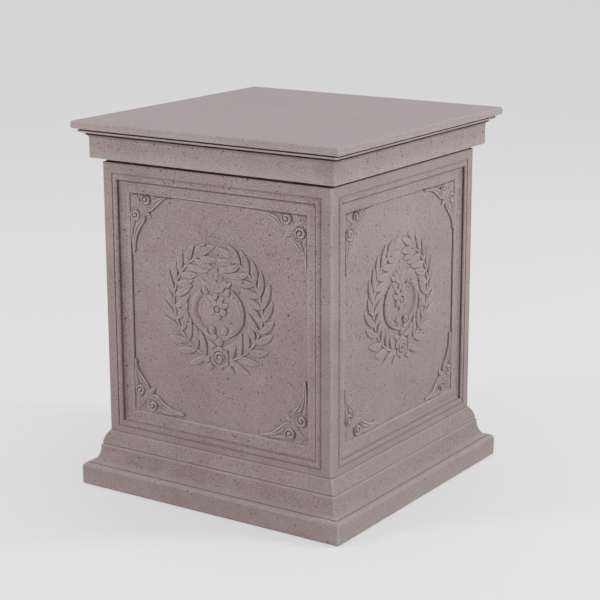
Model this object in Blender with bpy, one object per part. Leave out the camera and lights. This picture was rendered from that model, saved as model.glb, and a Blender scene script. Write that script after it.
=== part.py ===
"""Square statue pedestal of cast stone, hollow and open underneath.

Metres, +Z up. The origin is the middle of the underside, and the front faces -Y.
One closed skin makes the whole casting: the mouldings run round a square plan
with mitred corners, each side of the die has a framed panel, and the wreath,
cartouche and corner scrolls stand on the panels in low relief.
"""
import math

import bmesh
import bpy
from mathutils import Matrix, Vector

# Overall sizes
HEIGHT = 0.610
SLAB_WIDTH = 0.508
PLINTH_WIDTH = 0.508
DIE_WIDTH = 0.4374
FRIEZE_WIDTH = 0.467

# Hollow inside
WALL = 0.038
TOP_WALL = 0.040
HOLLOW_DRAFT = 0.004

# Base mouldings, from the ground up
PLINTH_HEIGHT = 0.0365
PLINTH_FOOT_RADIUS = 0.0035
PLINTH_TOP_RADIUS = 0.0065
BASE_HOLLOW_WIDTH = 0.489
BASE_HOLLOW_HEIGHT = 0.0290
BASE_NECK_WIDTH = 0.462
BASE_QUIRK_DEPTH = 0.0016
BASE_QUIRK_HEIGHT = 0.0020
BASE_SPLAY_WIDTH = 0.4590
BASE_SPLAY_HEIGHT = 0.0235
BASE_SPLAY_BULGE = 0.0012

# Cap mouldings, from the die up
FRIEZE_HEIGHT = 0.0330
FRIEZE_FOOT_RADIUS = 0.0025
CAP_HOLLOW_HEIGHT = 0.0062
CAP_HOLLOW_RUN = 0.0070
CAP_QUIRK_HEIGHT = 0.0015
CAP_QUIRK_DEPTH = 0.0015
CAP_BEAD_HEIGHT = 0.0078
CAP_BEAD_RUN = 0.0075
CAP_BEAD_BULGE = 0.0016
SLAB_THICKNESS = 0.0127
SLAB_TOP_RADIUS = 0.0050
SLAB_FOOT_RADIUS = 0.0025

# Panel frame on each side of the die, from its edge inwards
SIDE_RAIL = 0.019
TOP_RAIL = 0.023
BOTTOM_RAIL = 0.011
FRAME_BEAD_WIDTH = 0.0103
FRAME_BEAD_RISE = 0.0015
FRAME_BEAD_DROP = 0.0020
FRAME_HOLLOW_WIDTH = 0.0153
FRAME_DEPTH = 0.0100
FRAME_FILLET_WIDTH = 0.0073
FRAME_FILLET_RISE = 0.0018
PANEL_DEPTH = 0.0107

# Laurel wreath
WREATH_RAISE = 0.0145
WREATH_RADIUS = 0.083
WREATH_PAIRS = 12
WREATH_FIRST_ANGLE = -75.0
WREATH_LAST_ANGLE = 69.0
LEAF_LENGTH = 0.035
LEAF_STALK = 0.0030
LEAF_WIDTH = 0.0125
LEAF_RISE = 0.0036
LEAF_OUTWARD_ANGLES = (42.0, 20.0)
LEAF_INWARD_ANGLES = (50.0, 28.0)
STEM_WIDTH = 0.0042
STEM_RISE = 0.0026
ROSE_RADIUS = 0.0190
ROSE_RISE = 0.0050

# Cartouche inside the wreath
SCROLL_DROP = 0.0060
SCROLL_HALF_WIDTH = 0.0450
SCROLL_HALF_HEIGHT = 0.0370
SCROLL_BAND_WIDTH = 0.0200
SCROLL_END_WIDTH = 0.0100
SCROLL_RISE = 0.0055
SCROLL_TOP_ANGLE = 62.0
SCROLL_FOOT_ANGLE = -72.0
BALL_RADIUS = 0.0068
BALL_RISE = 0.0065
SHELL_REACH = 0.0250
SHELL_LOBES = 5
FLOWER_RADIUS = 0.0140
FLOWER_PETALS = 5
BUD_DROP = 0.0510

# Corner scrolls
CORNER_SHORT_LEG = 0.086
CORNER_LONG_LEG = 0.099
VOLUTE_RADIUS = 0.0088
CORNER_RISE = 0.0034
CORNER_LEAF_WIDTH = 0.0100

# Places in a corner, as shares of its short and long legs: two volutes, then six leaves
# with their starts, their tips and their widths as shares of a corner leaf's
CORNER_VOLUTES = ((0.37, 0.13), (0.13, 0.38))
CORNER_LEAVES = (((0.40, 0.28), (1.00, 0.02), 1.2), ((0.48, 0.18), (0.80, 0.04), 0.9),
                 ((0.30, 0.36), (0.12, 1.00), 1.2), ((0.22, 0.46), (0.06, 0.76), 0.9),
                 ((0.22, 0.20), (0.47, 0.38), 1.3), ((0.24, 0.20), (0.04, 0.04), 1.3))

# Outline of a leaf as shares of its length and half width, and where its crest lies
LEAF_EDGES = ((0.25, 0.80), (0.62, 0.85))
LEAF_CREST = 0.42

# Rings of the round bosses, as shares of their radius and rise
ROSE_RINGS = ((0.80, 0.80), (0.45, 0.40))
BALL_RING = (0.70, 0.80)
VOLUTE_RING = (0.75, 1.00)
VOLUTE_EYE = 0.40

# The wreath and the corners are drawn for a panel of these half sizes, and fit any other
DRAWN_HALF_WIDTH = 0.1668
DRAWN_HALF_HEIGHT = 0.1790

# How finely the curves are faceted
HOLLOW_STEPS = 5
FRAME_STEPS = 3
ROUND_STEPS = 2
STEM_STEPS = 6
SCROLL_STEPS = 8
BUTTON_SIDES = 7
ROSE_SIDES = 10

# Relief solids reach this far into the panel that they stand on, and share one plate
SINK = 0.0010
BACKING_THICKNESS = 0.003

# Points of the carving closer together than this are one point
SAME_POINT = 0.000001

# Heights of the joints between the mouldings
HOLLOW_TOP_Z = PLINTH_HEIGHT + BASE_HOLLOW_HEIGHT
SPLAY_FOOT_Z = HOLLOW_TOP_Z + BASE_QUIRK_HEIGHT
DIE_FOOT_Z = SPLAY_FOOT_Z + BASE_SPLAY_HEIGHT
SLAB_FOOT_Z = HEIGHT - SLAB_THICKNESS
BEAD_FOOT_Z = SLAB_FOOT_Z - CAP_BEAD_HEIGHT
QUIRK_FOOT_Z = BEAD_FOOT_Z - CAP_QUIRK_HEIGHT
FRIEZE_TOP_Z = QUIRK_FOOT_Z - CAP_HOLLOW_HEIGHT
DIE_TOP_Z = FRIEZE_TOP_Z - FRIEZE_HEIGHT

# Edges of the flat panel inside its frame
FRAME_WIDTH = FRAME_BEAD_WIDTH + FRAME_HOLLOW_WIDTH + FRAME_FILLET_WIDTH
PANEL_HALF_WIDTH = DIE_WIDTH / 2 - SIDE_RAIL - FRAME_WIDTH
PANEL_TOP_Z = DIE_TOP_Z - TOP_RAIL - FRAME_WIDTH
PANEL_FOOT_Z = DIE_FOOT_Z + BOTTOM_RAIL + FRAME_WIDTH
PANEL_MID_Z = (PANEL_TOP_Z + PANEL_FOOT_Z) / 2
PANEL_HALF_HEIGHT = (PANEL_TOP_Z - PANEL_FOOT_Z) / 2
CARVING_SCALE = min(PANEL_HALF_WIDTH / DRAWN_HALF_WIDTH, PANEL_HALF_HEIGHT / DRAWN_HALF_HEIGHT)


def polar(radius, degrees):
    """The point at this radius and angle, measured from the first axis."""
    turn = math.radians(degrees)
    return Vector((radius * math.cos(turn), radius * math.sin(turn)))


def blend(pair, share):
    """The value that lies this share of the way between the two of a pair."""
    return pair[0] + (pair[1] - pair[0]) * share


def quarter(start, end, level_first, steps):
    """Quarter ellipse from start to end that sets out level, or upright."""
    points = []
    for step in range(steps + 1):
        turn = math.pi / 2 * step / steps
        fast, slow = math.sin(turn), 1 - math.cos(turn)
        across, along = (fast, slow) if level_first else (slow, fast)
        points.append((start[0] + (end[0] - start[0]) * across,
                       start[1] + (end[1] - start[1]) * along))
    return points


def bow(start, end, bulge, steps):
    """Shallow arc from start to end, bulging to the right of its direction."""
    run, rise = end[0] - start[0], end[1] - start[1]
    length = math.hypot(run, rise)
    points = []
    for step in range(steps + 1):
        share = step / steps
        swell = bulge * 4 * share * (1 - share) / length
        points.append((start[0] + run * share + rise * swell,
                       start[1] + rise * share - run * swell))
    return points


def base_profile():
    """Half widths and heights from the ground up to the foot of the die."""
    plinth = PLINTH_WIDTH / 2
    hollow = BASE_HOLLOW_WIDTH / 2
    neck = BASE_NECK_WIDTH / 2
    points = quarter((plinth - PLINTH_FOOT_RADIUS, 0.0), (plinth, PLINTH_FOOT_RADIUS),
                     True, ROUND_STEPS)
    points += quarter((plinth, PLINTH_HEIGHT - PLINTH_TOP_RADIUS),
                      (plinth - PLINTH_TOP_RADIUS, PLINTH_HEIGHT), False, ROUND_STEPS)
    points += quarter((hollow, PLINTH_HEIGHT), (neck, HOLLOW_TOP_Z), True, HOLLOW_STEPS)
    points.append((neck - BASE_QUIRK_DEPTH, HOLLOW_TOP_Z))
    quirk = BASE_SPLAY_WIDTH / 2 - BASE_QUIRK_DEPTH
    points.append((quirk, SPLAY_FOOT_Z))
    points += bow((BASE_SPLAY_WIDTH / 2, SPLAY_FOOT_Z), (DIE_WIDTH / 2, DIE_FOOT_Z),
                  BASE_SPLAY_BULGE, ROUND_STEPS)
    return points


def cap_profile():
    """Half widths and heights from the top of the die up to the table."""
    frieze = FRIEZE_WIDTH / 2
    slab = SLAB_WIDTH / 2
    hollow = frieze + CAP_HOLLOW_RUN
    bead = hollow + CAP_BEAD_RUN
    points = [(DIE_WIDTH / 2, DIE_TOP_Z)]
    points += quarter((frieze - FRIEZE_FOOT_RADIUS, DIE_TOP_Z),
                      (frieze, DIE_TOP_Z + FRIEZE_FOOT_RADIUS), True, ROUND_STEPS)
    points += quarter((frieze, FRIEZE_TOP_Z), (hollow, QUIRK_FOOT_Z), False, ROUND_STEPS)
    points.append((hollow - CAP_QUIRK_DEPTH, BEAD_FOOT_Z))
    points += bow((hollow, BEAD_FOOT_Z), (bead, SLAB_FOOT_Z), CAP_BEAD_BULGE, ROUND_STEPS)
    points += quarter((slab - SLAB_FOOT_RADIUS, SLAB_FOOT_Z),
                      (slab, SLAB_FOOT_Z + SLAB_FOOT_RADIUS), True, ROUND_STEPS)
    points += quarter((slab, HEIGHT - SLAB_TOP_RADIUS), (slab - SLAB_TOP_RADIUS, HEIGHT),
                      False, ROUND_STEPS)
    return points


def frame_profile():
    """Insets from the frame's outer line, and depths below the face of the die."""
    bead = FRAME_BEAD_WIDTH
    hollow = bead + FRAME_HOLLOW_WIDTH
    fillet_depth = PANEL_DEPTH - FRAME_FILLET_RISE
    points = bow((0.0, 0.0), (bead, FRAME_BEAD_DROP), FRAME_BEAD_RISE + FRAME_BEAD_DROP / 2,
                 FRAME_STEPS)
    points += quarter((bead, FRAME_BEAD_DROP), (hollow, FRAME_DEPTH), False, FRAME_STEPS)[1:]
    points.append((hollow + FRAME_FILLET_RISE / 2, fillet_depth))
    points.append((hollow + FRAME_FILLET_WIDTH - FRAME_FILLET_RISE / 2, fillet_depth))
    points.append((FRAME_WIDTH, PANEL_DEPTH))
    return points


def corner_ring(mesh, half, height):
    """Four corners of a level square."""
    signs = ((-1, -1), (1, -1), (1, 1), (-1, 1))
    return [mesh.verts.new((half * x, half * y, height)) for x, y in signs]


def skin(mesh, lower, upper):
    """Join two rings of the same count with a band of quads."""
    count = len(lower)
    for index in range(count):
        after = (index + 1) % count
        mesh.faces.new((lower[index], lower[after], upper[after], upper[index]))


def panel_rings(mesh, side):
    """Nested rectangles of the frame on one side, from its outer line inwards."""
    turn = Matrix.Rotation(math.pi / 2 * side, 3, "Z")
    rings = []
    for inset, depth in frame_profile():
        half = DIE_WIDTH / 2 - SIDE_RAIL - inset
        foot = DIE_FOOT_Z + BOTTOM_RAIL + inset
        top = DIE_TOP_Z - TOP_RAIL - inset
        face = depth - DIE_WIDTH / 2
        corners = ((-half, face, foot), (half, face, foot), (half, face, top), (-half, face, top))
        rings.append([mesh.verts.new(turn @ Vector(corner)) for corner in corners])
    return rings


def add_side(mesh, foot_ring, top_ring, side):
    """One side of the die: its flat rails, the frame's mouldings and the panel."""
    after = (side + 1) % 4
    edge = [foot_ring[side], foot_ring[after], top_ring[after], top_ring[side]]
    rings = panel_rings(mesh, side)
    skin(mesh, edge, rings[0])
    for outer, inner in zip(rings, rings[1:]):
        skin(mesh, outer, inner)
    mesh.faces.new(rings[-1])


def casting_mesh():
    """The whole casting without its relief, as one closed skin."""
    mesh = bmesh.new()
    base = [corner_ring(mesh, half, height) for half, height in base_profile()]
    cap = [corner_ring(mesh, half, height) for half, height in cap_profile()]
    for rings in (base, cap):
        for lower, upper in zip(rings, rings[1:]):
            skin(mesh, lower, upper)
    for side in range(4):
        add_side(mesh, base[-1], cap[0], side)
    mesh.faces.new(cap[-1])
    inner = DIE_WIDTH / 2 - WALL
    mouth = corner_ring(mesh, inner + HOLLOW_DRAFT, 0.0)
    ceiling = corner_ring(mesh, inner, HEIGHT - TOP_WALL)
    skin(mesh, mouth, base[0])
    skin(mesh, ceiling, mouth)
    mesh.faces.new(list(reversed(ceiling)))
    return mesh


def relief_point(place, rise):
    """A point of the front panel's relief, from its place on the drawing of the panel."""
    face = PANEL_DEPTH - DIE_WIDTH / 2
    return (place[0] * CARVING_SCALE, face - rise, PANEL_MID_Z + place[1] * CARVING_SCALE)


def add_turned(mesh, centre, rings, middle_rise, sides):
    """Round boss about an axis out of the panel: rings of radius and rise, then its middle."""
    loops = []
    for radius, rise in rings:
        places = [Vector(centre) + polar(radius, 360 * index / sides) for index in range(sides)]
        loops.append([mesh.verts.new(relief_point(place, rise)) for place in places])
    for outer, inner in zip(loops, loops[1:]):
        skin(mesh, outer, inner)
    middle = mesh.verts.new(relief_point(centre, middle_rise))
    for index in range(sides):
        mesh.faces.new((loops[-1][index], loops[-1][(index + 1) % sides], middle))
    mesh.faces.new(list(reversed(loops[0])))


def add_leaf(mesh, base, tip, width, rise):
    """Leaf as a low hipped form: six edge points round one crest near its broadest part."""
    base, tip = Vector(base), Vector(tip)
    along = tip - base
    across = Vector((-along.y, along.x)).normalized() * width / 2
    crest = base + along * LEAF_CREST
    right_side = [base + along * far - across * wide for far, wide in LEAF_EDGES]
    left_side = [base + along * far + across * wide for far, wide in reversed(LEAF_EDGES)]
    edge = [base, *right_side, tip, *left_side]
    spread = (rise + SINK) / rise
    foot = [crest + (place - crest) * spread for place in edge]
    loop = [mesh.verts.new(relief_point(place, -SINK)) for place in foot]
    top = mesh.verts.new(relief_point(crest, rise))
    for index in range(len(loop)):
        mesh.faces.new((loop[index], loop[(index + 1) % len(loop)], top))
    mesh.faces.new(list(reversed(loop)))


def add_band(mesh, path, widths, section):
    """Raised band along a path: its section gives shares of the half width, and rises."""
    stations = []
    for index, place in enumerate(path):
        before, after = path[max(index - 1, 0)], path[min(index + 1, len(path) - 1)]
        along = (after - before).normalized()
        across = Vector((-along.y, along.x)) * widths[index] / 2
        stations.append([mesh.verts.new(relief_point(place + across * share, rise))
                         for share, rise in section])
    for here, there in zip(stations, stations[1:]):
        skin(mesh, here, there)
    mesh.faces.new(list(reversed(stations[0])))
    mesh.faces.new(stations[-1])


def add_wreath(mesh, centre):
    """Two laurel branches that rise from a rose, with leaves in pairs along each stem."""
    for mirror in (1, -1):
        side = Vector((mirror, 1))
        step = (WREATH_LAST_ANGLE - WREATH_FIRST_ANGLE) / (WREATH_PAIRS - 1)
        for pair in range(WREATH_PAIRS):
            angle = WREATH_FIRST_ANGLE + step * pair
            share = pair / (WREATH_PAIRS - 1)
            node = polar(WREATH_RADIUS, angle)
            for turn in (-blend(LEAF_OUTWARD_ANGLES, share), blend(LEAF_INWARD_ANGLES, share)):
                heading = angle + 90 + turn
                base = node + polar(LEAF_STALK, heading)
                tip = node + polar(LEAF_LENGTH, heading)
                add_leaf(mesh, centre + base * side, centre + tip * side, LEAF_WIDTH, LEAF_RISE)
        angles = [blend((WREATH_FIRST_ANGLE, WREATH_LAST_ANGLE), index / STEM_STEPS)
                  for index in range(STEM_STEPS + 1)]
        path = [centre + polar(WREATH_RADIUS, angle) * side for angle in angles]
        section = ((-1, -SINK), (0, STEM_RISE), (1, -SINK))
        add_band(mesh, path, [STEM_WIDTH] * len(path), section)
    rings = [(ROSE_RADIUS, -SINK)]
    rings += [(ROSE_RADIUS * wide, ROSE_RISE * high) for wide, high in ROSE_RINGS]
    add_turned(mesh, centre - Vector((0, WREATH_RADIUS)), rings, ROSE_RISE, ROSE_SIDES)


def add_ball(mesh, centre, rise):
    """Small round boss."""
    rings = ((BALL_RADIUS, -SINK), (BALL_RADIUS * BALL_RING[0], rise * BALL_RING[1]))
    add_turned(mesh, centre, rings, rise, BUTTON_SIDES)


def add_cartouche(mesh, centre):
    """Two facing scrolls with round ends, a shell over them and a flower between them."""
    for mirror in (1, -1):
        side = Vector((mirror, 1))
        path, widths = [], []
        for index in range(SCROLL_STEPS + 1):
            share = index / SCROLL_STEPS
            angle = math.radians(blend((SCROLL_TOP_ANGLE, SCROLL_FOOT_ANGLE), share))
            place = Vector((SCROLL_HALF_WIDTH * math.cos(angle),
                            SCROLL_HALF_HEIGHT * math.sin(angle)))
            path.append(centre + place * side)
            widths.append(blend((SCROLL_END_WIDTH, SCROLL_BAND_WIDTH), math.sin(math.pi * share)))
        section = ((-1, -SINK), (-0.5, SCROLL_RISE), (0.5, SCROLL_RISE), (1, -SINK))
        add_band(mesh, path, widths, section)
        for end in (path[0], path[-1]):
            add_ball(mesh, end, BALL_RISE)
    shell_foot = centre + Vector((0, SCROLL_HALF_HEIGHT))
    for lobe in range(SHELL_LOBES):
        heading = 180 * (lobe + 0.5) / SHELL_LOBES
        add_leaf(mesh, shell_foot, shell_foot + polar(SHELL_REACH, heading), 0.4 * SHELL_REACH,
                 SCROLL_RISE)
    for petal in range(FLOWER_PETALS):
        heading = 90 + 360 * petal / FLOWER_PETALS
        start = centre + polar(FLOWER_RADIUS * 0.1, heading)
        add_leaf(mesh, start, centre + polar(FLOWER_RADIUS, heading), FLOWER_RADIUS * 0.75,
                 LEAF_RISE)
    add_ball(mesh, centre - Vector((0, BUD_DROP)), LEAF_RISE)


def add_corner(mesh, corner, short_way, long_way):
    """Scroll ornament in one corner: two volutes and leaves that taper along both edges."""
    def place(short_share, long_share):
        return (corner + short_way * CORNER_SHORT_LEG * short_share
                + long_way * CORNER_LONG_LEG * long_share)

    volute = ((VOLUTE_RADIUS, -SINK), (VOLUTE_RADIUS * VOLUTE_RING[0], CORNER_RISE * VOLUTE_RING[1]))
    for shares in CORNER_VOLUTES:
        add_turned(mesh, place(*shares), volute, CORNER_RISE * VOLUTE_EYE, BUTTON_SIDES)
    for start, end, share in CORNER_LEAVES:
        add_leaf(mesh, place(*start), place(*end), CORNER_LEAF_WIDTH * share, CORNER_RISE)


def relief_mesh():
    """Everything that stands on the front panel, each piece a closed solid sunk into it."""
    mesh = bmesh.new()
    add_wreath(mesh, Vector((0, WREATH_RAISE)))
    add_cartouche(mesh, Vector((0, WREATH_RAISE - SCROLL_DROP)))
    half = PANEL_HALF_WIDTH / CARVING_SCALE
    top = PANEL_HALF_HEIGHT / CARVING_SCALE
    right, up = Vector((1, 0)), Vector((0, 1))
    add_corner(mesh, Vector((-half, top)), right, -up)
    add_corner(mesh, Vector((half, top)), -up, -right)
    add_corner(mesh, Vector((half, -top)), -right, up)
    add_corner(mesh, Vector((-half, -top)), up, right)
    bmesh.ops.recalc_face_normals(mesh, faces=mesh.faces)
    return mesh


def backing_mesh():
    """Plate just under the front panel's surface, which carries its relief."""
    mesh = bmesh.new()
    bmesh.ops.create_cube(mesh, size=1.0)
    plate = (2 * PANEL_HALF_WIDTH, BACKING_THICKNESS, PANEL_TOP_Z - PANEL_FOOT_Z)
    bmesh.ops.scale(mesh, vec=plate, verts=mesh.verts)
    face = PANEL_DEPTH - DIE_WIDTH / 2 + SINK / 2
    bmesh.ops.translate(mesh, vec=(0, face + BACKING_THICKNESS / 2, PANEL_MID_Z),
                        verts=mesh.verts)
    return mesh


def stone():
    """Mauve-grey cast stone, quite rough."""
    material = bpy.data.materials.new("cast_stone")
    material.use_nodes = True
    shader = material.node_tree.nodes["Principled BSDF"]
    shader.inputs["Base Color"].default_value = (0.34, 0.28, 0.27, 1.0)
    shader.inputs["Roughness"].default_value = 0.9
    shader.inputs["Metallic"].default_value = 0.0
    return material


def new_object(name, mesh, material):
    """Put a finished mesh into the scene."""
    data = bpy.data.meshes.new(name)
    mesh.to_mesh(data)
    mesh.free()
    data.materials.append(material)
    thing = bpy.data.objects.new(name, data)
    bpy.context.scene.collection.objects.link(thing)
    return thing


def guide_only(thing):
    """Keep a helper shape out of the finished object."""
    thing.hide_render = True
    thing.display_type = "WIRE"
    return thing


def fuse(target, tool, overlapping):
    """Join a helper shape to the target as one body."""
    union = target.modifiers.new(tool.name, "BOOLEAN")
    union.operation = "UNION"
    union.solver = "EXACT"
    union.use_self = overlapping
    union.object = tool


def four_sides(panel_carving):
    """The same carving turned to face each side of the die, all in one mesh."""
    mesh = bmesh.new()
    for side in range(4):
        made = len(mesh.verts)
        mesh.from_mesh(panel_carving)
        mesh.verts.ensure_lookup_table()
        turn = Matrix.Rotation(math.pi / 2 * side, 3, "Z")
        bmesh.ops.rotate(mesh, matrix=turn, verts=mesh.verts[made:])
    bmesh.ops.remove_doubles(mesh, verts=mesh.verts, dist=SAME_POINT)
    bmesh.ops.dissolve_degenerate(mesh, edges=mesh.edges, dist=SAME_POINT)
    return mesh


def build():
    """Make the pedestal."""
    for thing in list(bpy.data.objects):
        bpy.data.objects.remove(thing, do_unlink=True)
    material = stone()
    casting = casting_mesh()
    bmesh.ops.recalc_face_normals(casting, faces=casting.faces)
    pedestal = new_object("pedestal", casting, material)
    relief = guide_only(new_object("relief_guide", relief_mesh(), material))
    panel = guide_only(new_object("panel_guide", backing_mesh(), material))
    fuse(panel, relief, True)
    carved = panel.evaluated_get(bpy.context.evaluated_depsgraph_get())
    carving = four_sides(bpy.data.meshes.new_from_object(carved))
    fuse(pedestal, guide_only(new_object("carving_guide", carving, material)), False)


build()
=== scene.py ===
# %% [markdown]
# A square pedestal of cast stone, dressed for a studio picture. The frame holds the plain
# solid: its sizes are right, but its carving is faceted. Here the same casting gets its
# true surface: soft arrises, crisp mouldings and panels carved in low relief, and a stone
# finish with grain, pits, dirt, painted shade in the hollows and a painted highlight on the
# arrises. The first lines fetch the solid and its box. The height and the width of the slab
# are read from that box, and the other sizes below are given or built on them, so that the
# new skin sits exactly where it was.

import bmesh
import bpy
import numpy as np
from mathutils import Matrix, Vector


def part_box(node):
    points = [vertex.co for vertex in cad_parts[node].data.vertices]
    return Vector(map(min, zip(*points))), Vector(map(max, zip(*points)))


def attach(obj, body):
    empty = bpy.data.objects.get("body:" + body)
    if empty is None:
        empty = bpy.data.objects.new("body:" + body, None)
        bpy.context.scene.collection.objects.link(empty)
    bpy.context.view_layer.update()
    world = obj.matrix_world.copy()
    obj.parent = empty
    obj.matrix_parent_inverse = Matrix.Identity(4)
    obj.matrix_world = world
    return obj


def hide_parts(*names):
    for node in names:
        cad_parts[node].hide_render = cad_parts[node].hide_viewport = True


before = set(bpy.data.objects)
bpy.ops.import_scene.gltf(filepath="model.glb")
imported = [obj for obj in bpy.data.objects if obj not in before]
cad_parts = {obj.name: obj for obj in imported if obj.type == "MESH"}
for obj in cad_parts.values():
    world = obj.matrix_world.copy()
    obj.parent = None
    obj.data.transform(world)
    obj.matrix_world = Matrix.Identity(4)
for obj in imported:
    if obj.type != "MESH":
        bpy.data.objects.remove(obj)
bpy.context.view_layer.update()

upper_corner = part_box("pedestal")[1]
HEIGHT = float(upper_corner[2])
SLAB_HALF = float(upper_corner[0])
print(f"pedestal {2 * SLAB_HALF:.3f} m wide and {HEIGHT:.3f} m high")

# %% [markdown]
# Mouldings are the quickest way to know a pedestal. Each one is a small curve with a name:
# a hollow curves inwards, a bead swells outwards, a quirk is the sharp groove between two
# others, and a fillet is a narrow flat. A drawing of them could be typed in point by
# point, but a change of one size would then spoil its neighbours. So two helpers draw
# every curve from its two ends, and the named sizes below place those ends.

# %% Sizes of the mouldings, in metres
PLINTH_HEIGHT = 0.0365
PLINTH_FOOT_RADIUS = 0.0035
PLINTH_TOP_RADIUS = 0.0065
FOOT_LINE_WIDTH, FOOT_LINE_DEPTH = 0.0016, 0.0004
BASE_HOLLOW_HALF = 0.2445
BASE_HOLLOW_TOP = PLINTH_HEIGHT + 0.0308
BASE_NECK_HALF = 0.2310
SPLAY_FOOT = BASE_HOLLOW_TOP + 0.0020
SPLAY_HALF = 0.2295
SPLAY_BULGE = 0.0012
DIE_FOOT = SPLAY_FOOT + 0.0217
DIE_LEDGE = 0.0018
DIE_HALF = 0.2187
FRIEZE_HALF = 0.2335
SLAB_FOOT = HEIGHT - 0.0127
BEAD_FOOT = SLAB_FOOT - 0.0068
CAP_QUIRK_FOOT = BEAD_FOOT - 0.0036
FRIEZE_TOP = CAP_QUIRK_FOOT - 0.0051
DIE_TOP = FRIEZE_TOP - 0.0330
CAP_HOLLOW_HALF = FRIEZE_HALF + 0.0070
CAP_BEAD_HALF = CAP_HOLLOW_HALF + 0.0075
CAP_BEAD_BULGE = 0.0016
QUIRK_DEPTH = 0.0016
BEAD_QUIRK, SLAB_QUIRK = 0.0034, 0.0030
NECK_RADIUS, SPLAY_RADIUS = 0.0010, 0.0008
LOWER_EDGE_RADIUS, TABLE_EDGE_RADIUS = 0.0025, 0.0036
CLEAN_STRIP = 0.0015
SEAM_HEIGHT, SEAM_DEPTH = 0.0064, 0.0040
WELL_HALF = DIE_HALF - 0.0380
WELL_MOUTH_HALF = WELL_HALF + 0.0040
WELL_TOP = HEIGHT - 0.0400


def quarter(start, end, level_first, steps):
    """Quarter ellipse: one way runs as the sine of the turn, the other as one less its cosine."""
    turn = np.linspace(0, np.pi / 2, steps + 1)
    fast, slow = np.sin(turn), 1 - np.cos(turn)
    shares = np.stack((fast, slow) if level_first else (slow, fast), axis=1)
    return np.asarray(start) + (np.asarray(end) - np.asarray(start)) * shares


def bow(start, end, bulge, steps):
    """Shallow arc: the straight line plus a parabola to its right, highest in the middle."""
    start, end = np.asarray(start), np.asarray(end)
    share = np.linspace(0, 1, steps + 1)[:, None]
    line = end - start
    right = np.array((line[1], -line[0])) / np.hypot(*line)
    return start + line * share + right * bulge * 4 * share * (1 - share)


print(f"die from {DIE_FOOT:.4f} to {DIE_TOP:.4f} m")

# %% [markdown]
# The base is drawn from the ground up and the cap from the top of the die up. Both are
# lists of half widths and heights. The points lie closer on the small radii, because that
# is where a cast edge catches the light.

# %% The two profiles
base_profile = np.vstack((
    quarter((SLAB_HALF - PLINTH_FOOT_RADIUS, 0), (SLAB_HALF, PLINTH_FOOT_RADIUS), True, 4),
    quarter((SLAB_HALF, PLINTH_HEIGHT - PLINTH_TOP_RADIUS),
            (SLAB_HALF - PLINTH_TOP_RADIUS, PLINTH_HEIGHT), False, 6),
    [(BASE_HOLLOW_HALF + FOOT_LINE_WIDTH, PLINTH_HEIGHT),
     (BASE_HOLLOW_HALF + FOOT_LINE_DEPTH, PLINTH_HEIGHT - FOOT_LINE_DEPTH),
     (BASE_HOLLOW_HALF, PLINTH_HEIGHT + 0.0014)],
    quarter((BASE_HOLLOW_HALF - 0.0005, PLINTH_HEIGHT + 0.0018),
            (BASE_NECK_HALF, BASE_HOLLOW_TOP - NECK_RADIUS), True, 10),
    quarter((BASE_NECK_HALF, BASE_HOLLOW_TOP - NECK_RADIUS),
            (BASE_NECK_HALF - QUIRK_DEPTH, BASE_HOLLOW_TOP), False, 2)[1:],
    [(SPLAY_HALF - QUIRK_DEPTH, SPLAY_FOOT - 0.0004)],
    quarter((SPLAY_HALF - SPLAY_RADIUS, SPLAY_FOOT), (SPLAY_HALF, SPLAY_FOOT + SPLAY_RADIUS), True, 2),
    bow((SPLAY_HALF, SPLAY_FOOT + SPLAY_RADIUS), (DIE_HALF + DIE_LEDGE, DIE_FOOT - SPLAY_RADIUS),
        SPLAY_BULGE, 7)[1:],
    [(DIE_HALF + DIE_LEDGE * 0.6, DIE_FOOT), (DIE_HALF, DIE_FOOT), (DIE_HALF, DIE_FOOT + 0.0006),
     (DIE_HALF, DIE_FOOT + 0.0006 + CLEAN_STRIP)]))
cap_profile = np.vstack((
    [(DIE_HALF, DIE_TOP - SEAM_HEIGHT - CLEAN_STRIP), (DIE_HALF, DIE_TOP - SEAM_HEIGHT),
     (DIE_HALF - SEAM_DEPTH, DIE_TOP - SEAM_HEIGHT * 0.8), (DIE_HALF - SEAM_DEPTH, DIE_TOP)],
    quarter((FRIEZE_HALF - LOWER_EDGE_RADIUS, DIE_TOP), (FRIEZE_HALF, DIE_TOP + LOWER_EDGE_RADIUS),
            True, 4),
    quarter((FRIEZE_HALF, FRIEZE_TOP), (CAP_HOLLOW_HALF, CAP_QUIRK_FOOT), False, 5),
    [(CAP_HOLLOW_HALF - BEAD_QUIRK, CAP_QUIRK_FOOT + 0.0002),
     (CAP_HOLLOW_HALF - BEAD_QUIRK, BEAD_FOOT - 0.0003)],
    bow((CAP_HOLLOW_HALF, BEAD_FOOT), (CAP_BEAD_HALF - 0.0010, SLAB_FOOT - 0.0034),
        CAP_BEAD_BULGE, 6),
    [(CAP_BEAD_HALF - SLAB_QUIRK, SLAB_FOOT - 0.0031), (CAP_BEAD_HALF - SLAB_QUIRK, SLAB_FOOT)],
    quarter((SLAB_HALF - LOWER_EDGE_RADIUS, SLAB_FOOT), (SLAB_HALF, SLAB_FOOT + LOWER_EDGE_RADIUS),
            True, 4),
    quarter((SLAB_HALF, HEIGHT - TABLE_EDGE_RADIUS), (SLAB_HALF - TABLE_EDGE_RADIUS, HEIGHT),
            False, 5)))
print(len(base_profile), "points up the base,", len(cap_profile), "up the cap")

# %% [markdown]
# The plan is a square whose corners are slightly rounded, as every mould leaves them. A
# ring is that plan at one height. Sweeping a profile round it keeps the mitres at the
# corners true. The points of a ring run anticlockwise seen from above, so that the faces
# between a lower and an upper ring look outwards.

# %% Rings round the square plan
CORNER_RADIUS = 0.0028
CORNER_STEPS = 4
RING_COUNT = 4 * (CORNER_STEPS + 1)


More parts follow.
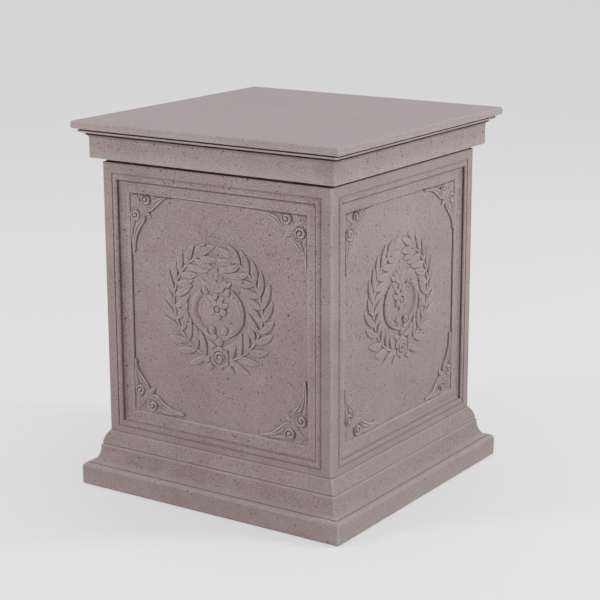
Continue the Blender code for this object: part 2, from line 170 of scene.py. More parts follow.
def square_ring(half, height, radius=CORNER_RADIUS):
    """Square with round corners: each corner is its centre plus a quarter circle."""
    turn = np.linspace(0, np.pi / 2, CORNER_STEPS + 1)
    arc = np.stack((np.cos(turn), np.sin(turn)), axis=1) * radius + (half - radius)
    corners = []
    for quarter_turn in (3, 0, 1, 2):
        angle = quarter_turn * np.pi / 2
        spin = np.array(((np.cos(angle), np.sin(angle)), (-np.sin(angle), np.cos(angle))))
        corners.append(arc @ spin)
    plan = np.vstack(corners)
    return np.column_stack((plan, np.full(len(plan), height)))


def hollowness(profile, reach):
    """How far each point lies behind the straight line between its neighbours a reach away.

    Positive in hollows, negative on arrises, as a share of the reach.
    """
    steps = np.hypot(*np.diff(profile, axis=0).T)
    along = np.concatenate(([0], np.cumsum(steps)))
    before = np.stack([np.interp(along - reach, along, profile[:, k]) for k in (0, 1)], axis=1)
    after = np.stack([np.interp(along + reach, along, profile[:, k]) for k in (0, 1)], axis=1)
    line = after - before
    outward = np.stack((line[:, 1], -line[:, 0]), axis=1)
    outward /= np.maximum(np.hypot(*outward.T), 1e-9)[:, None]
    return np.sum(((before + after) / 2 - profile) * outward, axis=1) / reach


print(RING_COUNT, "points in a ring")

# %% [markdown]
# Each side of the die is a panel in a frame: a fine line, a rounded bead, a hollow that
# runs down from it, and a narrow fillet that drops sharply to the field. The bead and the
# hollow are straight all round, so nested rectangles draw them well. From the fillet
# inwards the surface is carved, and a height map takes over.

# %% Sizes of the panel frame
SIDE_RAIL = 0.0190
TOP_RAIL = 0.0230
BOTTOM_RAIL = 0.0110
BEAD_WIDTH = 0.0103
BEAD_RISE = 0.0015
BEAD_DROP = 0.0020
HOLLOW_WIDTH = 0.0153
LINE_DEPTH = 0.0012
FILLET_WIDTH = 0.0040
FILLET_RISE = 0.0034
PANEL_DEPTH = 0.0107
FILLET_DEPTH = PANEL_DEPTH - FILLET_RISE
FRAME_WIDTH = BEAD_WIDTH + HOLLOW_WIDTH

line_and_bead = np.vstack((
    [(-CLEAN_STRIP, 0.0), (-0.0006, 0.0), (0.0, LINE_DEPTH), (0.0010, LINE_DEPTH)],
    bow((0.0014, LINE_DEPTH * 0.6), (BEAD_WIDTH, BEAD_DROP * 0.5), BEAD_RISE + BEAD_DROP / 4, 8)))
BEAD_POINTS = len(line_and_bead)
frame_profile = np.vstack((
    line_and_bead,
    [(BEAD_WIDTH + 0.0003, BEAD_DROP + 0.0014), (BEAD_WIDTH + 0.0020, BEAD_DROP + 0.0016)],
    bow((BEAD_WIDTH + 0.0028, BEAD_DROP + 0.0009), (FRAME_WIDTH - 0.0006, FILLET_DEPTH - 0.0002),
        -0.0012, 9),
    [(FRAME_WIDTH, FILLET_DEPTH)]))
MAP_HALF_WIDTH = DIE_HALF - SIDE_RAIL - FRAME_WIDTH
MAP_TOP = DIE_TOP - TOP_RAIL - FRAME_WIDTH
MAP_FOOT = DIE_FOOT + BOTTOM_RAIL + FRAME_WIDTH
MAP_MIDDLE = (MAP_TOP + MAP_FOOT) / 2
MAP_HALF_HEIGHT = (MAP_TOP - MAP_FOOT) / 2
print(f"carved field {2 * MAP_HALF_WIDTH * 1000:.0f} by {2 * MAP_HALF_HEIGHT * 1000:.0f} mm")

# %% [markdown]
# Low relief can be sculpted as a height map: one number for every point of a fine grid,
# the rise above the flat field. Each leaf, scroll or petal is a small formula for that
# rise, and laying it on the map keeps the higher of old and new. Where two domes meet,
# a sharp valley appears by itself, just as a carver cuts it.

# %% The height map and how a form is laid on it
GRID = 0.00075
columns = int(round(2 * MAP_HALF_WIDTH / GRID)) + 1
rows = int(round(2 * MAP_HALF_HEIGHT / GRID)) + 1
across = np.linspace(-MAP_HALF_WIDTH, MAP_HALF_WIDTH, columns)
upward = np.linspace(-MAP_HALF_HEIGHT, MAP_HALF_HEIGHT, rows)
relief = np.zeros((rows, columns))


def window(centre, reach):
    """Rows and columns within a reach of a centre, and the places of their points."""
    left, right = np.searchsorted(across, (centre[0] - reach, centre[0] + reach))
    foot, top = np.searchsorted(upward, (centre[1] - reach, centre[1] + reach))
    spot = (slice(max(foot, 0), min(top, rows)), slice(max(left, 0), min(right, columns)))
    u, v = np.meshgrid(across[spot[1]], upward[spot[0]])
    return spot, u, v


def lay(spot, rise):
    """Keep the higher of the carved surface and a new form."""
    relief[spot] = np.maximum(relief[spot], rise)


def dome(share):
    """Round hill: the height of a circle at this share of its radius, nothing outside."""
    return np.sqrt(np.clip(1 - share ** 2, 0, 1))


print(rows, "by", columns, "points in the height map")

# %% [markdown]
# A laurel leaf is long, broadest a little before its middle and pointed at both ends. Its
# edge stands up sharply from the ground, its back is plump, and a fine vein runs down the
# middle. The same function serves the wreath, the sprigs by the rose and the corner
# leaves, because only its ends, its width and its bend change.

# %% A leaf
EDGE_SHARE = 0.40
VEIN_WIDTH, VEIN_SHARE = 0.0009, 0.22
LEAF_START, LEAF_END = 0.7, 0.75


def lay_leaf(base, tip, width, rise, bend=0.0):
    """Leaf: half width goes as s**LEAF_START * (1 - s)**LEAF_END along it, with a domed back.

    s runs from 0 at the base to 1 at the tip, and the middle line bows by bend.
    """
    base, tip = np.asarray(base, float), np.asarray(tip, float)
    length = np.hypot(*(tip - base))
    forward = (tip - base) / length
    spot, u, v = window((base + tip) / 2, length / 2 + width + abs(bend))
    s = ((u - base[0]) * forward[0] + (v - base[1]) * forward[1]) / length
    inside = np.clip(s, 0, 1)
    t = (v - base[1]) * forward[0] - (u - base[0]) * forward[1]
    t = t - bend * 4 * inside * (1 - inside)
    broadest = LEAF_START / (LEAF_START + LEAF_END)
    top = broadest ** LEAF_START * (1 - broadest) ** LEAF_END
    half = width / 2 * inside ** LEAF_START * (1 - inside) ** LEAF_END / top
    share = np.abs(t) / np.maximum(half, 1e-6)
    body = (EDGE_SHARE + (1 - EDGE_SHARE) * dome(share)) * (0.55 + 0.45 * np.sin(np.pi * inside ** 0.8))
    body -= VEIN_SHARE * np.exp(-(t / VEIN_WIDTH) ** 2) * np.sin(np.pi * inside) ** 0.5
    lay(spot, np.where((share < 1) & (s > 0) & (s < 1), rise * body, 0.0))


print(f"a leaf is broadest {LEAF_START / (LEAF_START + LEAF_END):.0%} of the way along")

# %% [markdown]
# Round things come next. A ball is half a sphere. A volute is a coil: its ridge follows
# the angle round the centre while the radius shrinks, so one formula of angle and radius
# winds the whole coil at once.

# %% Balls and volutes
EYE_SHARE = 0.30


def lay_ball(centre, radius, rise):
    """Half of a ball flattened to a rise."""
    spot, u, v = window(centre, radius * 1.2)
    lay(spot, rise * dome(np.hypot(u - centre[0], v - centre[1]) / radius))


def lay_volute(centre, radius, rise, turns, hand, start=0.0):
    """Coil: rise waves with radius over pitch plus angle over a full turn, over a low dome."""
    spot, u, v = window(centre, radius * 1.2)
    distance = np.hypot(u - centre[0], v - centre[1])
    angle = np.arctan2(v - centre[1], u - centre[0]) * hand + start
    phase = (distance / radius * turns + angle / (2 * np.pi)) % 1.0
    ridge = np.abs(np.sin(np.pi * phase)) ** 0.8
    eye = dome(distance / (radius * EYE_SHARE))
    coil = np.maximum(0.20 + 0.80 * ridge, eye)
    lay(spot, np.where(distance < radius, rise * coil * (0.75 + 0.25 * dome(distance / radius)), 0))


print(f"a coil's eye takes {EYE_SHARE:.0%} of its radius")

# %% [markdown]
# The wreath is two branches that part at a rose and nearly meet at the top. Both stems
# lie on one circle. Leaves leave the stem in pairs. The outer leaf hugs the stem and the
# inner one spreads further from it, except at the foot, where both spread. A carver never
# repeats a leaf exactly, so each one is turned and stretched a little by chance.

# %% The laurel wreath
WREATH_RAISE = 0.0152
WREATH_RADIUS = 0.0855
FIRST_ANGLE, LAST_ANGLE = -73.0, 59.0
LEAF_LENGTH, LEAF_WIDTH, LEAF_RISE = 0.0390, 0.0116, 0.0039
LEAF_BEND = 0.0022
END_LEAVES = ((-9, 0.88), (27, 0.80))
END_STEP = 7
OUTWARD = (44.0, 38.0, 33.0, 28.0, 25.0, 23.0, 22.0, 22.0, 23.0, 22.0, 20.0)
INWARD = (56.0, 55.0, 56.0, 57.0, 56.0, 54.0, 53.0, 52.0, 51.0, 49.0, 46.0)
STEM_WIDTH, STEM_RISE, STEM_OVERRUN = 0.0036, 0.0026, 8
TURN_SPREAD, LENGTH_SPREAD = 3.5, 0.09
chance = np.random.default_rng(7)
wreath_centre = np.array((0.0, WREATH_RAISE))


def polar(radius, degrees):
    """Point at a radius and an angle: the radius times cosine and sine of the degrees."""
    turn = np.radians(degrees)
    return radius * np.array((np.cos(turn), np.sin(turn)))


def lay_wreath_leaf(angle, turn, length, mirror):
    """Leaf from a point of the stem circle, turned from the tangent there, on either branch."""
    turn = turn + chance.normal(0, TURN_SPREAD)
    length = length * (1 + chance.normal(0, LENGTH_SPREAD))
    root = polar(WREATH_RADIUS, angle)
    tip = root + polar(length, angle + 90 + turn)
    side = np.array((mirror, 1))
    lay_leaf(wreath_centre + root * side, wreath_centre + tip * side, LEAF_WIDTH, LEAF_RISE,
             LEAF_BEND * np.sign(turn) * mirror)


def lay_wreath():
    """Two branches: stems as arcs of one circle, a pair of leaves at each node, two at the end."""
    spot, u, v = window(wreath_centre, WREATH_RADIUS * 1.1)
    radius = np.hypot(u - wreath_centre[0], v - wreath_centre[1])
    angle = np.degrees(np.arctan2(v - wreath_centre[1], np.abs(u - wreath_centre[0])))
    share = np.abs(radius - WREATH_RADIUS) / (STEM_WIDTH / 2)
    along_stem = (angle > FIRST_ANGLE) & (angle < LAST_ANGLE + STEM_OVERRUN)
    lay(spot, np.where(along_stem, STEM_RISE * dome(share), 0))
    angles = np.linspace(FIRST_ANGLE, LAST_ANGLE, len(OUTWARD))
    for angle, outward, inward in zip(angles, OUTWARD, INWARD):
        for mirror in (1, -1):
            lay_wreath_leaf(angle, -outward, LEAF_LENGTH, mirror)
            lay_wreath_leaf(angle, inward, LEAF_LENGTH, mirror)
    for mirror in (1, -1):
        for turn, length_share in END_LEAVES:
            lay_wreath_leaf(LAST_ANGLE + END_STEP, turn, LEAF_LENGTH * length_share, mirror)


lay_wreath()
print(f"wreath laid, highest point {relief.max() * 1000:.1f} mm")

# %% [markdown]
# A cartouche fills the wreath. Two scrolls face each other like a pair of C's. Each is a
# thick roll along an ellipse with a low lip inside it. At both ends the roll curls round
# a ball. A channel is cut round every ball, so that a dark ring sets it off.

# %% The scrolls
SCROLL_HALF_WIDTH, SCROLL_HALF_HEIGHT = 0.0422, 0.0358
SCROLL_BAND, SCROLL_END = 0.0192, 0.0150
ROLL_SHARE, OUTER_EDGE_SHARE, LIP_SHARE = 0.73, 0.42, 0.17
SCROLL_RISE = 0.0050
ROLL_TOP, ROLL_FADE, LIP_TOP, SCROLL_FOOT = 84.0, 12.0, 60.0, -74.0
TOP_BALL, FOOT_BALL = (0.0218, 0.0325), (0.0125, -0.0310)
BALL_RADIUS, BALL_RISE = 0.0066, 0.0056
CHANNEL_WIDTH = 0.0018
CARTOUCHE_TILT = np.radians(2.6)
cartouche_centre = wreath_centre - np.array((0.0, 0.0060))


def spot_of(x, y):
    """Point of the cartouche's drawing, turned by its tilt about its centre."""
    c, s = np.cos(CARTOUCHE_TILT), np.sin(CARTOUCHE_TILT)
    return cartouche_centre + np.array((x * c - y * s, x * s + y * c))


def lay_scrolls():
    """Roll along an ellipse: distance from its line is the radius share less one, scaled."""
    spot, u, v = window(cartouche_centre, SCROLL_HALF_WIDTH * 1.5)
    u, v = u - cartouche_centre[0], v - cartouche_centre[1]
    c, s = np.cos(CARTOUCHE_TILT), np.sin(CARTOUCHE_TILT)
    x, y = np.abs(u * c + v * s) / SCROLL_HALF_WIDTH, (v * c - u * s) / SCROLL_HALF_HEIGHT
    angle = np.degrees(np.arctan2(y, x))
    scale = np.hypot(SCROLL_HALF_WIDTH * np.cos(np.radians(angle)),
                     SCROLL_HALF_HEIGHT * np.sin(np.radians(angle)))
    offset = (np.hypot(x, y) - 1) * scale
    share = np.clip((ROLL_TOP - angle) / (ROLL_TOP - SCROLL_FOOT), 0, 1)
    half = (SCROLL_END + (SCROLL_BAND - SCROLL_END) * np.sin(np.pi * share)) / 2
    beside = (offset - half * (1 - ROLL_SHARE)) / (half * ROLL_SHARE)
    inner_side = 1 - beside ** 2
    outer_side = OUTER_EDGE_SHARE + (1 - OUTER_EDGE_SHARE) * dome(beside)
    roll = np.where(np.abs(beside) < 1, np.where(beside < 0, inner_side, outer_side), 0)
    lip = np.where((angle < LIP_TOP) & (offset > -half) & (offset < half * 0.3), LIP_SHARE, 0.0)
    body = np.maximum(roll * np.clip((ROLL_TOP - angle) / ROLL_FADE, 0, 1) ** 0.5, lip)
    lay(spot, np.where((angle < ROLL_TOP) & (angle > SCROLL_FOOT), SCROLL_RISE * body, 0))


def set_ball(centre, radius, rise):
    """Ball in a channel: the ground round it is cut down first, then the ball is laid."""
    spot, u, v = window(centre, radius + 2 * CHANNEL_WIDTH)
    distance = np.hypot(u - centre[0], v - centre[1])
    cut = np.clip((distance - radius) / CHANNEL_WIDTH, 0, 1)
    relief[spot] *= np.where(distance < radius + CHANNEL_WIDTH, 0.25 + 0.75 * cut ** 2, 1)
    lay_ball(centre, radius, rise)


lay_scrolls()
print(f"scrolls laid, {SCROLL_BAND * 1000:.0f} mm broad")

# %% [markdown]
# The shell is a fan of flutes. In polar terms its rise waves with the angle, and its
# outer edge is scalloped by the same wave. The flower is a ring of round dished petals
# about a ball, with leaves under it. The rose winds a coil inside its ring of petals. A
# sprig or a pair of small leaves fills each gap between the larger forms.

# %% Shell and petals
SHELL_REACH, SHELL_RISE, SHELL_LOBES, SHELL_SPREAD = 0.0310, 0.0042, 7, 150
CREST_RADIUS, CREST_RISE = 0.0105, 0.0052
SPRIG_WIDTH, SPRIG_RISE, SPRIG_BEND = 0.0095, 0.0044, 0.0035
SHELL_PLACE, CREST_PLACE = (0.0, 0.0300), (0.0, 0.0420)
SPRIG_START, SPRIG_TIP = (0.0050, 0.0410), (0.0290, 0.0480)
FOOT_BALL_SHARE = 1.06
PETAL_EDGE = 0.40


def lay_shell(centre, reach, rise, lobes, spread):
    """Fan: rise follows the size of a sine of the angle, and grows outwards to a round lip."""
    spot, u, v = window(centre, reach * 1.15)
    distance = np.hypot(u - centre[0], v - centre[1])
    angle = (np.degrees(np.arctan2(v - centre[1], u - centre[0])) - 90) / spread + 0.5
    flute = np.abs(np.sin(np.pi * angle * lobes)) ** 0.7
    edge = reach * (0.84 + 0.16 * flute) * (1 - 0.25 * np.abs(angle - 0.5))
    share = np.clip(distance / edge, 0, 1)
    body = (0.70 + 0.30 * flute * share) * (1 - 0.7 * share ** 4)
    lay(spot, np.where((distance < edge) & (angle > 0) & (angle < 1), rise * body, 0))


def lay_petal(middle, size, rise, heart):
    """Round petal: a dome over a steep edge, less a bell curve that dishes its middle."""
    spot, u, v = window(middle, size * 1.1)
    share = np.hypot(u - middle[0], v - middle[1]) / size
    dish = heart * np.exp(-(share / 0.5) ** 2)
    lay(spot, np.where(share < 1, rise * (PETAL_EDGE + (1 - PETAL_EDGE) * dome(share) - dish), 0))


lay_shell(spot_of(*SHELL_PLACE), SHELL_REACH, SHELL_RISE, SHELL_LOBES, SHELL_SPREAD)
for side in (1, -1):
    lay_leaf(spot_of(SPRIG_START[0] * side, SPRIG_START[1]),
             spot_of(SPRIG_TIP[0] * side, SPRIG_TIP[1]), SPRIG_WIDTH, SPRIG_RISE, -SPRIG_BEND * side)
    set_ball(spot_of(TOP_BALL[0] * side, TOP_BALL[1]), BALL_RADIUS, BALL_RISE)
    set_ball(spot_of(FOOT_BALL[0] * side, FOOT_BALL[1]), BALL_RADIUS * FOOT_BALL_SHARE, BALL_RISE)
lay_ball(spot_of(*CREST_PLACE), CREST_RADIUS, CREST_RISE)
print(f"shell of {SHELL_LOBES} lobes laid, highest point {relief.max() * 1000:.1f} mm")

# %% Flower
FLOWER_RADIUS, FLOWER_PETALS = 0.0165, 5
FLOWER_LEAF_WIDTH, FLOWER_LEAF_RISE = 0.0085, 0.0034
PETAL_PLACE, PETAL_SIZE, PETAL_RISE, PETAL_DISH = 0.62, 0.39, 0.0044, 0.12
FIRST_PETAL = -87
FLOWER_HEART_SHARE, FLOWER_HEART_RISE = 0.30, 0.0046
flower_centre = spot_of(0.0, 0.0035)
flower_leaves = ((-0.0030, 0.0130, -0.0170, 0.0260), (0.0005, 0.0150, 0.0135, 0.0240),
                 (-0.0060, 0.0190, 0.0010, 0.0300), (-0.0080, 0.0080, -0.0220, 0.0140),
                 (0.0080, 0.0080, 0.0210, 0.0120))
for start_x, start_y, end_x, end_y in flower_leaves:
    lay_leaf(spot_of(start_x, start_y), spot_of(end_x, end_y), FLOWER_LEAF_WIDTH,
             FLOWER_LEAF_RISE)
for petal in range(FLOWER_PETALS):
    heading = FIRST_PETAL + 360 / FLOWER_PETALS * petal
    lay_petal(flower_centre + polar(FLOWER_RADIUS * PETAL_PLACE, heading),
              FLOWER_RADIUS * PETAL_SIZE, PETAL_RISE, PETAL_DISH)
set_ball(flower_centre, FLOWER_RADIUS * FLOWER_HEART_SHARE, FLOWER_HEART_RISE)
print(f"flower of {FLOWER_PETALS} petals laid")

# %% Bud and rose
ROSE_RADIUS, ROSE_RISE, ROSE_PETALS = 0.0185, 0.0056, 6
ROSE_LEAVES = ((-12, 0.040), (192, 0.040), (-40, 0.036), (220, 0.036))
ROSE_LEAF_START, ROSE_LEAF_WIDTH, ROSE_LEAF_RISE = 0.012, 0.0105, 0.0036
DISC_SHARE, DISC_RISE = 1.02, 0.0018
ROSE_FIRST_PETAL, ROSE_PETAL_SIZE, ROSE_PETAL_SHARE, ROSE_PETAL_DISH = 30, 0.41, 0.72, 0.10
HEART_SHARE, HEART_DISC, HEART_TURNS = 0.56, 0.5, 1.4
BUD_ABOVE, BUD_RADIUS, BUD_RISE, BUD_LEAF_WIDTH = 0.0260, 0.0068, 0.0052, 0.0080
BUD_LEAVES = ((0.003, 0.004, 0.0200, 0.0090, 0.0036, 0.002),
              (0.006, -0.010, 0.0250, 0.0000, 0.0034, -0.002))
rose_centre = spot_of(0.0, -0.0755)
for heading, reach in ROSE_LEAVES:
    lay_leaf(rose_centre + polar(ROSE_LEAF_START, heading), rose_centre + polar(reach, heading),
             ROSE_LEAF_WIDTH, ROSE_LEAF_RISE)
bud_centre = rose_centre + np.array((0.0, BUD_ABOVE))
for side in (1, -1):
    for start_x, start_y, tip_x, tip_y, rise, bend in BUD_LEAVES:
        start, tip = np.array((start_x * side, start_y)), np.array((tip_x * side, tip_y))
        lay_leaf(bud_centre + start, bud_centre + tip, BUD_LEAF_WIDTH, rise, bend * side)
set_ball(bud_centre, BUD_RADIUS, BUD_RISE)
set_ball(rose_centre, ROSE_RADIUS * DISC_SHARE, DISC_RISE)
for petal in range(ROSE_PETALS):
    heading = ROSE_FIRST_PETAL + 360 / ROSE_PETALS * petal
    lay_petal(rose_centre + polar(ROSE_RADIUS * PETAL_PLACE, heading), ROSE_RADIUS * ROSE_PETAL_SIZE,
              ROSE_RISE * ROSE_PETAL_SHARE, ROSE_PETAL_DISH)
set_ball(rose_centre, ROSE_RADIUS * HEART_SHARE, ROSE_RISE * HEART_DISC)
lay_volute(rose_centre, ROSE_RADIUS * HEART_SHARE, ROSE_RISE, HEART_TURNS, 1)
print(f"cartouche laid, highest point {relief.max() * 1000:.1f} mm")

# %% [markdown]
# Each corner has the same ornament, turned by a quarter: two arms that run along the
# edges, a short one and a long one, with a leaf between them. An arm starts as a coil. A
# band of three reeds curls round the coil on the side of the field, and sweeps on into a
# thin tail along the edge. The tail's outline is an S curve. Its formula is the logistic
# function, which runs level, falls and runs level again.

# %% Corner scrolls
SHORT_ARM = dict(coil=(0.0330, 0.0122), length=0.0890, tail=0.0048, swell=0.0275,
                 bend=0.0580, ease=0.0056)
LONG_ARM = dict(coil=(0.0375, 0.0115), length=0.1030, tail=0.0092, swell=0.0250,
                bend=0.0630, ease=0.0068)
COIL_RADIUS, COIL_TURNS = 0.0096, 1.5
CORNER_RISE = 0.0056
CORNER_RAISE = 0.0030
CORNER_PLATE = 0.0380
REEDS = 3
REED_REACH, REED_SWELL, REED_FADE = 0.0190, 0.0085, 20.0
NOTCH = 0.0012
TAIL_ROUND, TAIL_UNDERCUT = 0.007, 0.45
NARROW_FROM, NARROW_OVER, NARROW_BY = 80, 95, 0.35
MIX_FROM, MIX_OVER = -5, 35
CURL_END, CURL_FADE = 172, 25
PLATE_SHARE, CORNER_LEAF_SHARE, SIDE_LEAF_SHARE = 0.30, 0.80, 0.65
CORNER_LEAVES = ((0.022, 0.0585, 0.0125), (0.030, 0.003, 0.0130))
SIDE_LEAF_START, SIDE_LEAF_TIP, SIDE_LEAF_WIDTH = 0.024, (0.0180, 0.0020), 0.0080


def lay_arm(corner, along, inward, arm):
    """Coil, reeded band and tail.

    Near the coil the reeds follow its radius, and along the tail they follow its outline.
    In between, the two shares are mixed by the angle round the coil.
    """
    coil = arm["coil"]
    centre = corner + along * coil[0] + inward * coil[1]
    spot, u, v = window(centre, arm["length"] - coil[0] + 0.004)
    x = (u - centre[0]) * along[0] + (v - centre[1]) * along[1]
    y = (u - centre[0]) * inward[0] + (v - centre[1]) * inward[1]
    distance, angle = np.hypot(x, y), np.degrees(np.arctan2(y, x))
    reach = REED_REACH + REED_SWELL * np.exp(-np.clip(angle, -30, 180) / REED_FADE)
    reach = reach * (1 - NARROW_BY * np.clip((angle - NARROW_FROM) / NARROW_OVER, 0, 1))
    round_share = (distance - COIL_RADIUS) / (reach - COIL_RADIUS)
    run, height = x + coil[0], y + coil[1]
    outline = arm["tail"] + arm["swell"] / (1 + np.exp((run - arm["bend"]) / arm["ease"]))
    outline = outline * np.sqrt(np.clip((arm["length"] - run) / TAIL_ROUND, 0, 1))
    lifted = np.clip((run - arm["bend"]) / (arm["length"] - arm["bend"]), 0, 1)
    under = arm["tail"] * TAIL_UNDERCUT * lifted
    tail_share = (height - under) / np.maximum(outline - under, 1e-6)
    mix = np.clip((angle - MIX_FROM) / MIX_OVER, 0, 1)
    share = np.where((x > 0) | (angle > 0), mix * round_share + (1 - mix) * tail_share, -1)
    strength = np.clip(outline / 0.018, 0.15, 1) * (1 - mix) + mix
    reed = np.abs(np.sin(np.pi * share * REEDS)) ** 0.6
    body = 0.42 + 0.66 * strength * (reed - 0.45) * (1 - 0.3 * share)
    body += 0.40 * (1 - strength) * (dome(2 * share - 1) - 0.2)
    body *= np.clip((CURL_END - angle) / CURL_FADE, 0, 1)
    lay(spot, np.where((share > 0) & (share < 1), CORNER_RISE * body, 0))
    hand = np.sign(along[0] * inward[1] - along[1] * inward[0])
    cut = np.clip((distance - COIL_RADIUS) / NOTCH, 0, 1)
    relief[spot] *= np.where(distance < COIL_RADIUS + NOTCH, 0.3 + 0.7 * cut, 1)
    lay_volute(centre, COIL_RADIUS, CORNER_RISE * 1.1, COIL_TURNS, hand, np.pi)


def lay_corner(corner, short_way, long_way):
    """Low plate in the corner, leaves on it and between the arms, then both arms."""
    middle = (short_way + long_way) / np.sqrt(2)
    spot, u, v = window(corner + middle * 0.020, 0.045)
    far = (u - corner[0]) * middle[0] + (v - corner[1]) * middle[1]
    lay(spot, CORNER_RISE * PLATE_SHARE * np.clip((CORNER_PLATE - far) / 0.002, 0, 1))
    for start, end, width in CORNER_LEAVES:
        lay_leaf(corner + middle * start, corner + middle * end, width,
                 CORNER_RISE * CORNER_LEAF_SHARE)
    for way, other in ((short_way, long_way), (long_way, short_way)):
        tip = corner + way * SIDE_LEAF_TIP[0] + other * SIDE_LEAF_TIP[1]
        lay_leaf(corner + middle * SIDE_LEAF_START, tip, SIDE_LEAF_WIDTH,
                 CORNER_RISE * SIDE_LEAF_SHARE)
    lay_arm(corner, short_way, long_way, SHORT_ARM)
    lay_arm(corner, long_way, short_way, LONG_ARM)


inner_half = MAP_HALF_WIDTH - FILLET_WIDTH
inner_top = MAP_HALF_HEIGHT - FILLET_WIDTH
right, up = np.array((1.0, 0.0)), np.array((0.0, 1.0))
raised = up * CORNER_RAISE
lay_corner(raised - right * inner_half + up * inner_top, right, -up)
lay_corner(raised + right * inner_half + up * inner_top, -up, -right)
lay_corner(raised + right * inner_half - up * inner_top, -right, up)
lay_corner(raised - right * inner_half - up * inner_top, up, right)
print(f"corners laid, arms {SHORT_ARM['length'] * 1000:.0f} and {LONG_ARM['length'] * 1000:.0f} mm")

# %% [markdown]
# The fillet runs round the field and stands a little above it. It depends only on the
# distance to the nearest edge. The whole map is then softened a little, because stone cast
# in a mould never keeps a knife's edge. A dark line of painted shadow is laid under the
# fillet at the top and at the sides, where shade falls, and the lower edge, which faces up
# to the light, is kept almost free of painted shade.

# %% Fillet, softening and painted shadow line
SOFTEN = 0.00042
TOP_SHADOW_LINE, SIDE_SHADOW_LINE, FOOT_STRIP = 0.0030, 0.0016, 0.0030
HOLLOW_REACH, HOLLOW_FULL = 0.0009, 0.0005


def soften(heights, reach):
    """Blur with a bell curve along rows and then along columns."""
    count = int(np.ceil(3 * reach / GRID))
    steps = np.arange(-count, count + 1) * GRID
    bell = np.exp(-(steps / reach) ** 2 / 2)
    bell /= bell.sum()
    padded = np.pad(heights, count, mode="edge")
    rowwise = sum(weight * padded[:, k:k + heights.shape[1]] for k, weight in enumerate(bell))
    return sum(weight * rowwise[k:k + heights.shape[0]] for k, weight in enumerate(bell))


u, v = np.meshgrid(across, upward)
inset = np.minimum(MAP_HALF_WIDTH - np.abs(u), MAP_HALF_HEIGHT - np.abs(v))
relief = np.maximum(relief, np.where(inset < FILLET_WIDTH, FILLET_RISE, 0.0))
relief = soften(relief, SOFTEN)
relief = np.where(inset < GRID * 1.5, FILLET_RISE, relief)
# Depth below the softened surroundings: shade is painted from it into the crevices of the carving, and
# where it is negative it paints edges pale.
hollow_map = np.clip((soften(relief, HOLLOW_REACH) - relief) / HOLLOW_FULL, -1, 1)
# Painted shadow: a dark line under the fillet at the top and the sides; at the foot the painted shade
# is held low.
edge_shadow_line = np.where(MAP_HALF_HEIGHT - v < MAP_HALF_WIDTH - np.abs(u), TOP_SHADOW_LINE, SIDE_SHADOW_LINE)
edge_shadow_line = np.where((inset > FILLET_WIDTH) & (inset < FILLET_WIDTH + edge_shadow_line), 1.0, hollow_map)
at_foot = (MAP_HALF_HEIGHT + v < FILLET_WIDTH + FOOT_STRIP) & (inset > FILLET_WIDTH * 0.5)
hollow_map = np.where(at_foot, np.minimum(hollow_map, 0.25), edge_shadow_line)
print(f"relief from {relief.min() * 1000:.2f} to {relief.max() * 1000:.2f} mm")

# %% [markdown]
# A height map of a quarter of a million points is far finer than the picture needs where
# the field is flat. Collapsing its edges keeps the points where the surface bends, on the
# leaf edges and scrolls, and drops them from the plain ground. The border stays a
# straight rectangle, so that it can be sewn to the frame without a gap.

# %% Thin out the carved field
PANEL_TRIANGLES = 43000


def carved_patch():
    """Grid of the height map, thinned by edge collapse: places, heights and triangles."""
    u, v = np.meshgrid(across, upward)
    points = np.column_stack((u.ravel(), relief.ravel(), v.ravel()))
    index = np.arange(rows * columns).reshape(rows, columns)
    quads = np.stack((index[:-1, :-1], index[:-1, 1:], index[1:, 1:], index[1:, :-1]), axis=-1)
    quads = quads.reshape(-1, 4)
    mesh = bpy.data.meshes.new("panel_patch")
    mesh.vertices.add(len(points))
    mesh.loops.add(quads.size)
    mesh.polygons.add(len(quads))
    mesh.vertices.foreach_set("co", points.ravel())
    mesh.loops.foreach_set("vertex_index", quads.ravel())
    mesh.polygons.foreach_set("loop_start", np.arange(0, quads.size, 4))
    mesh.update(calc_edges=True)
    helper = bpy.data.objects.new("panel_patch", mesh)
    bpy.context.scene.collection.objects.link(helper)
    thin = helper.modifiers.new("thin", "DECIMATE")
    thin.ratio = PANEL_TRIANGLES / (2 * len(quads))
    made = helper.evaluated_get(bpy.context.evaluated_depsgraph_get()).to_mesh()
    made.calc_loop_triangles()
    places = np.zeros(3 * len(made.vertices))
    made.vertices.foreach_get("co", places)
    triangles = np.zeros(3 * len(made.loop_triangles), dtype=np.int32)
    made.loop_triangles.foreach_get("vertices", triangles)
    bpy.data.objects.remove(helper, do_unlink=True)
    bpy.data.meshes.remove(mesh)
    return places.reshape(-1, 3), triangles.reshape(-1, 3)


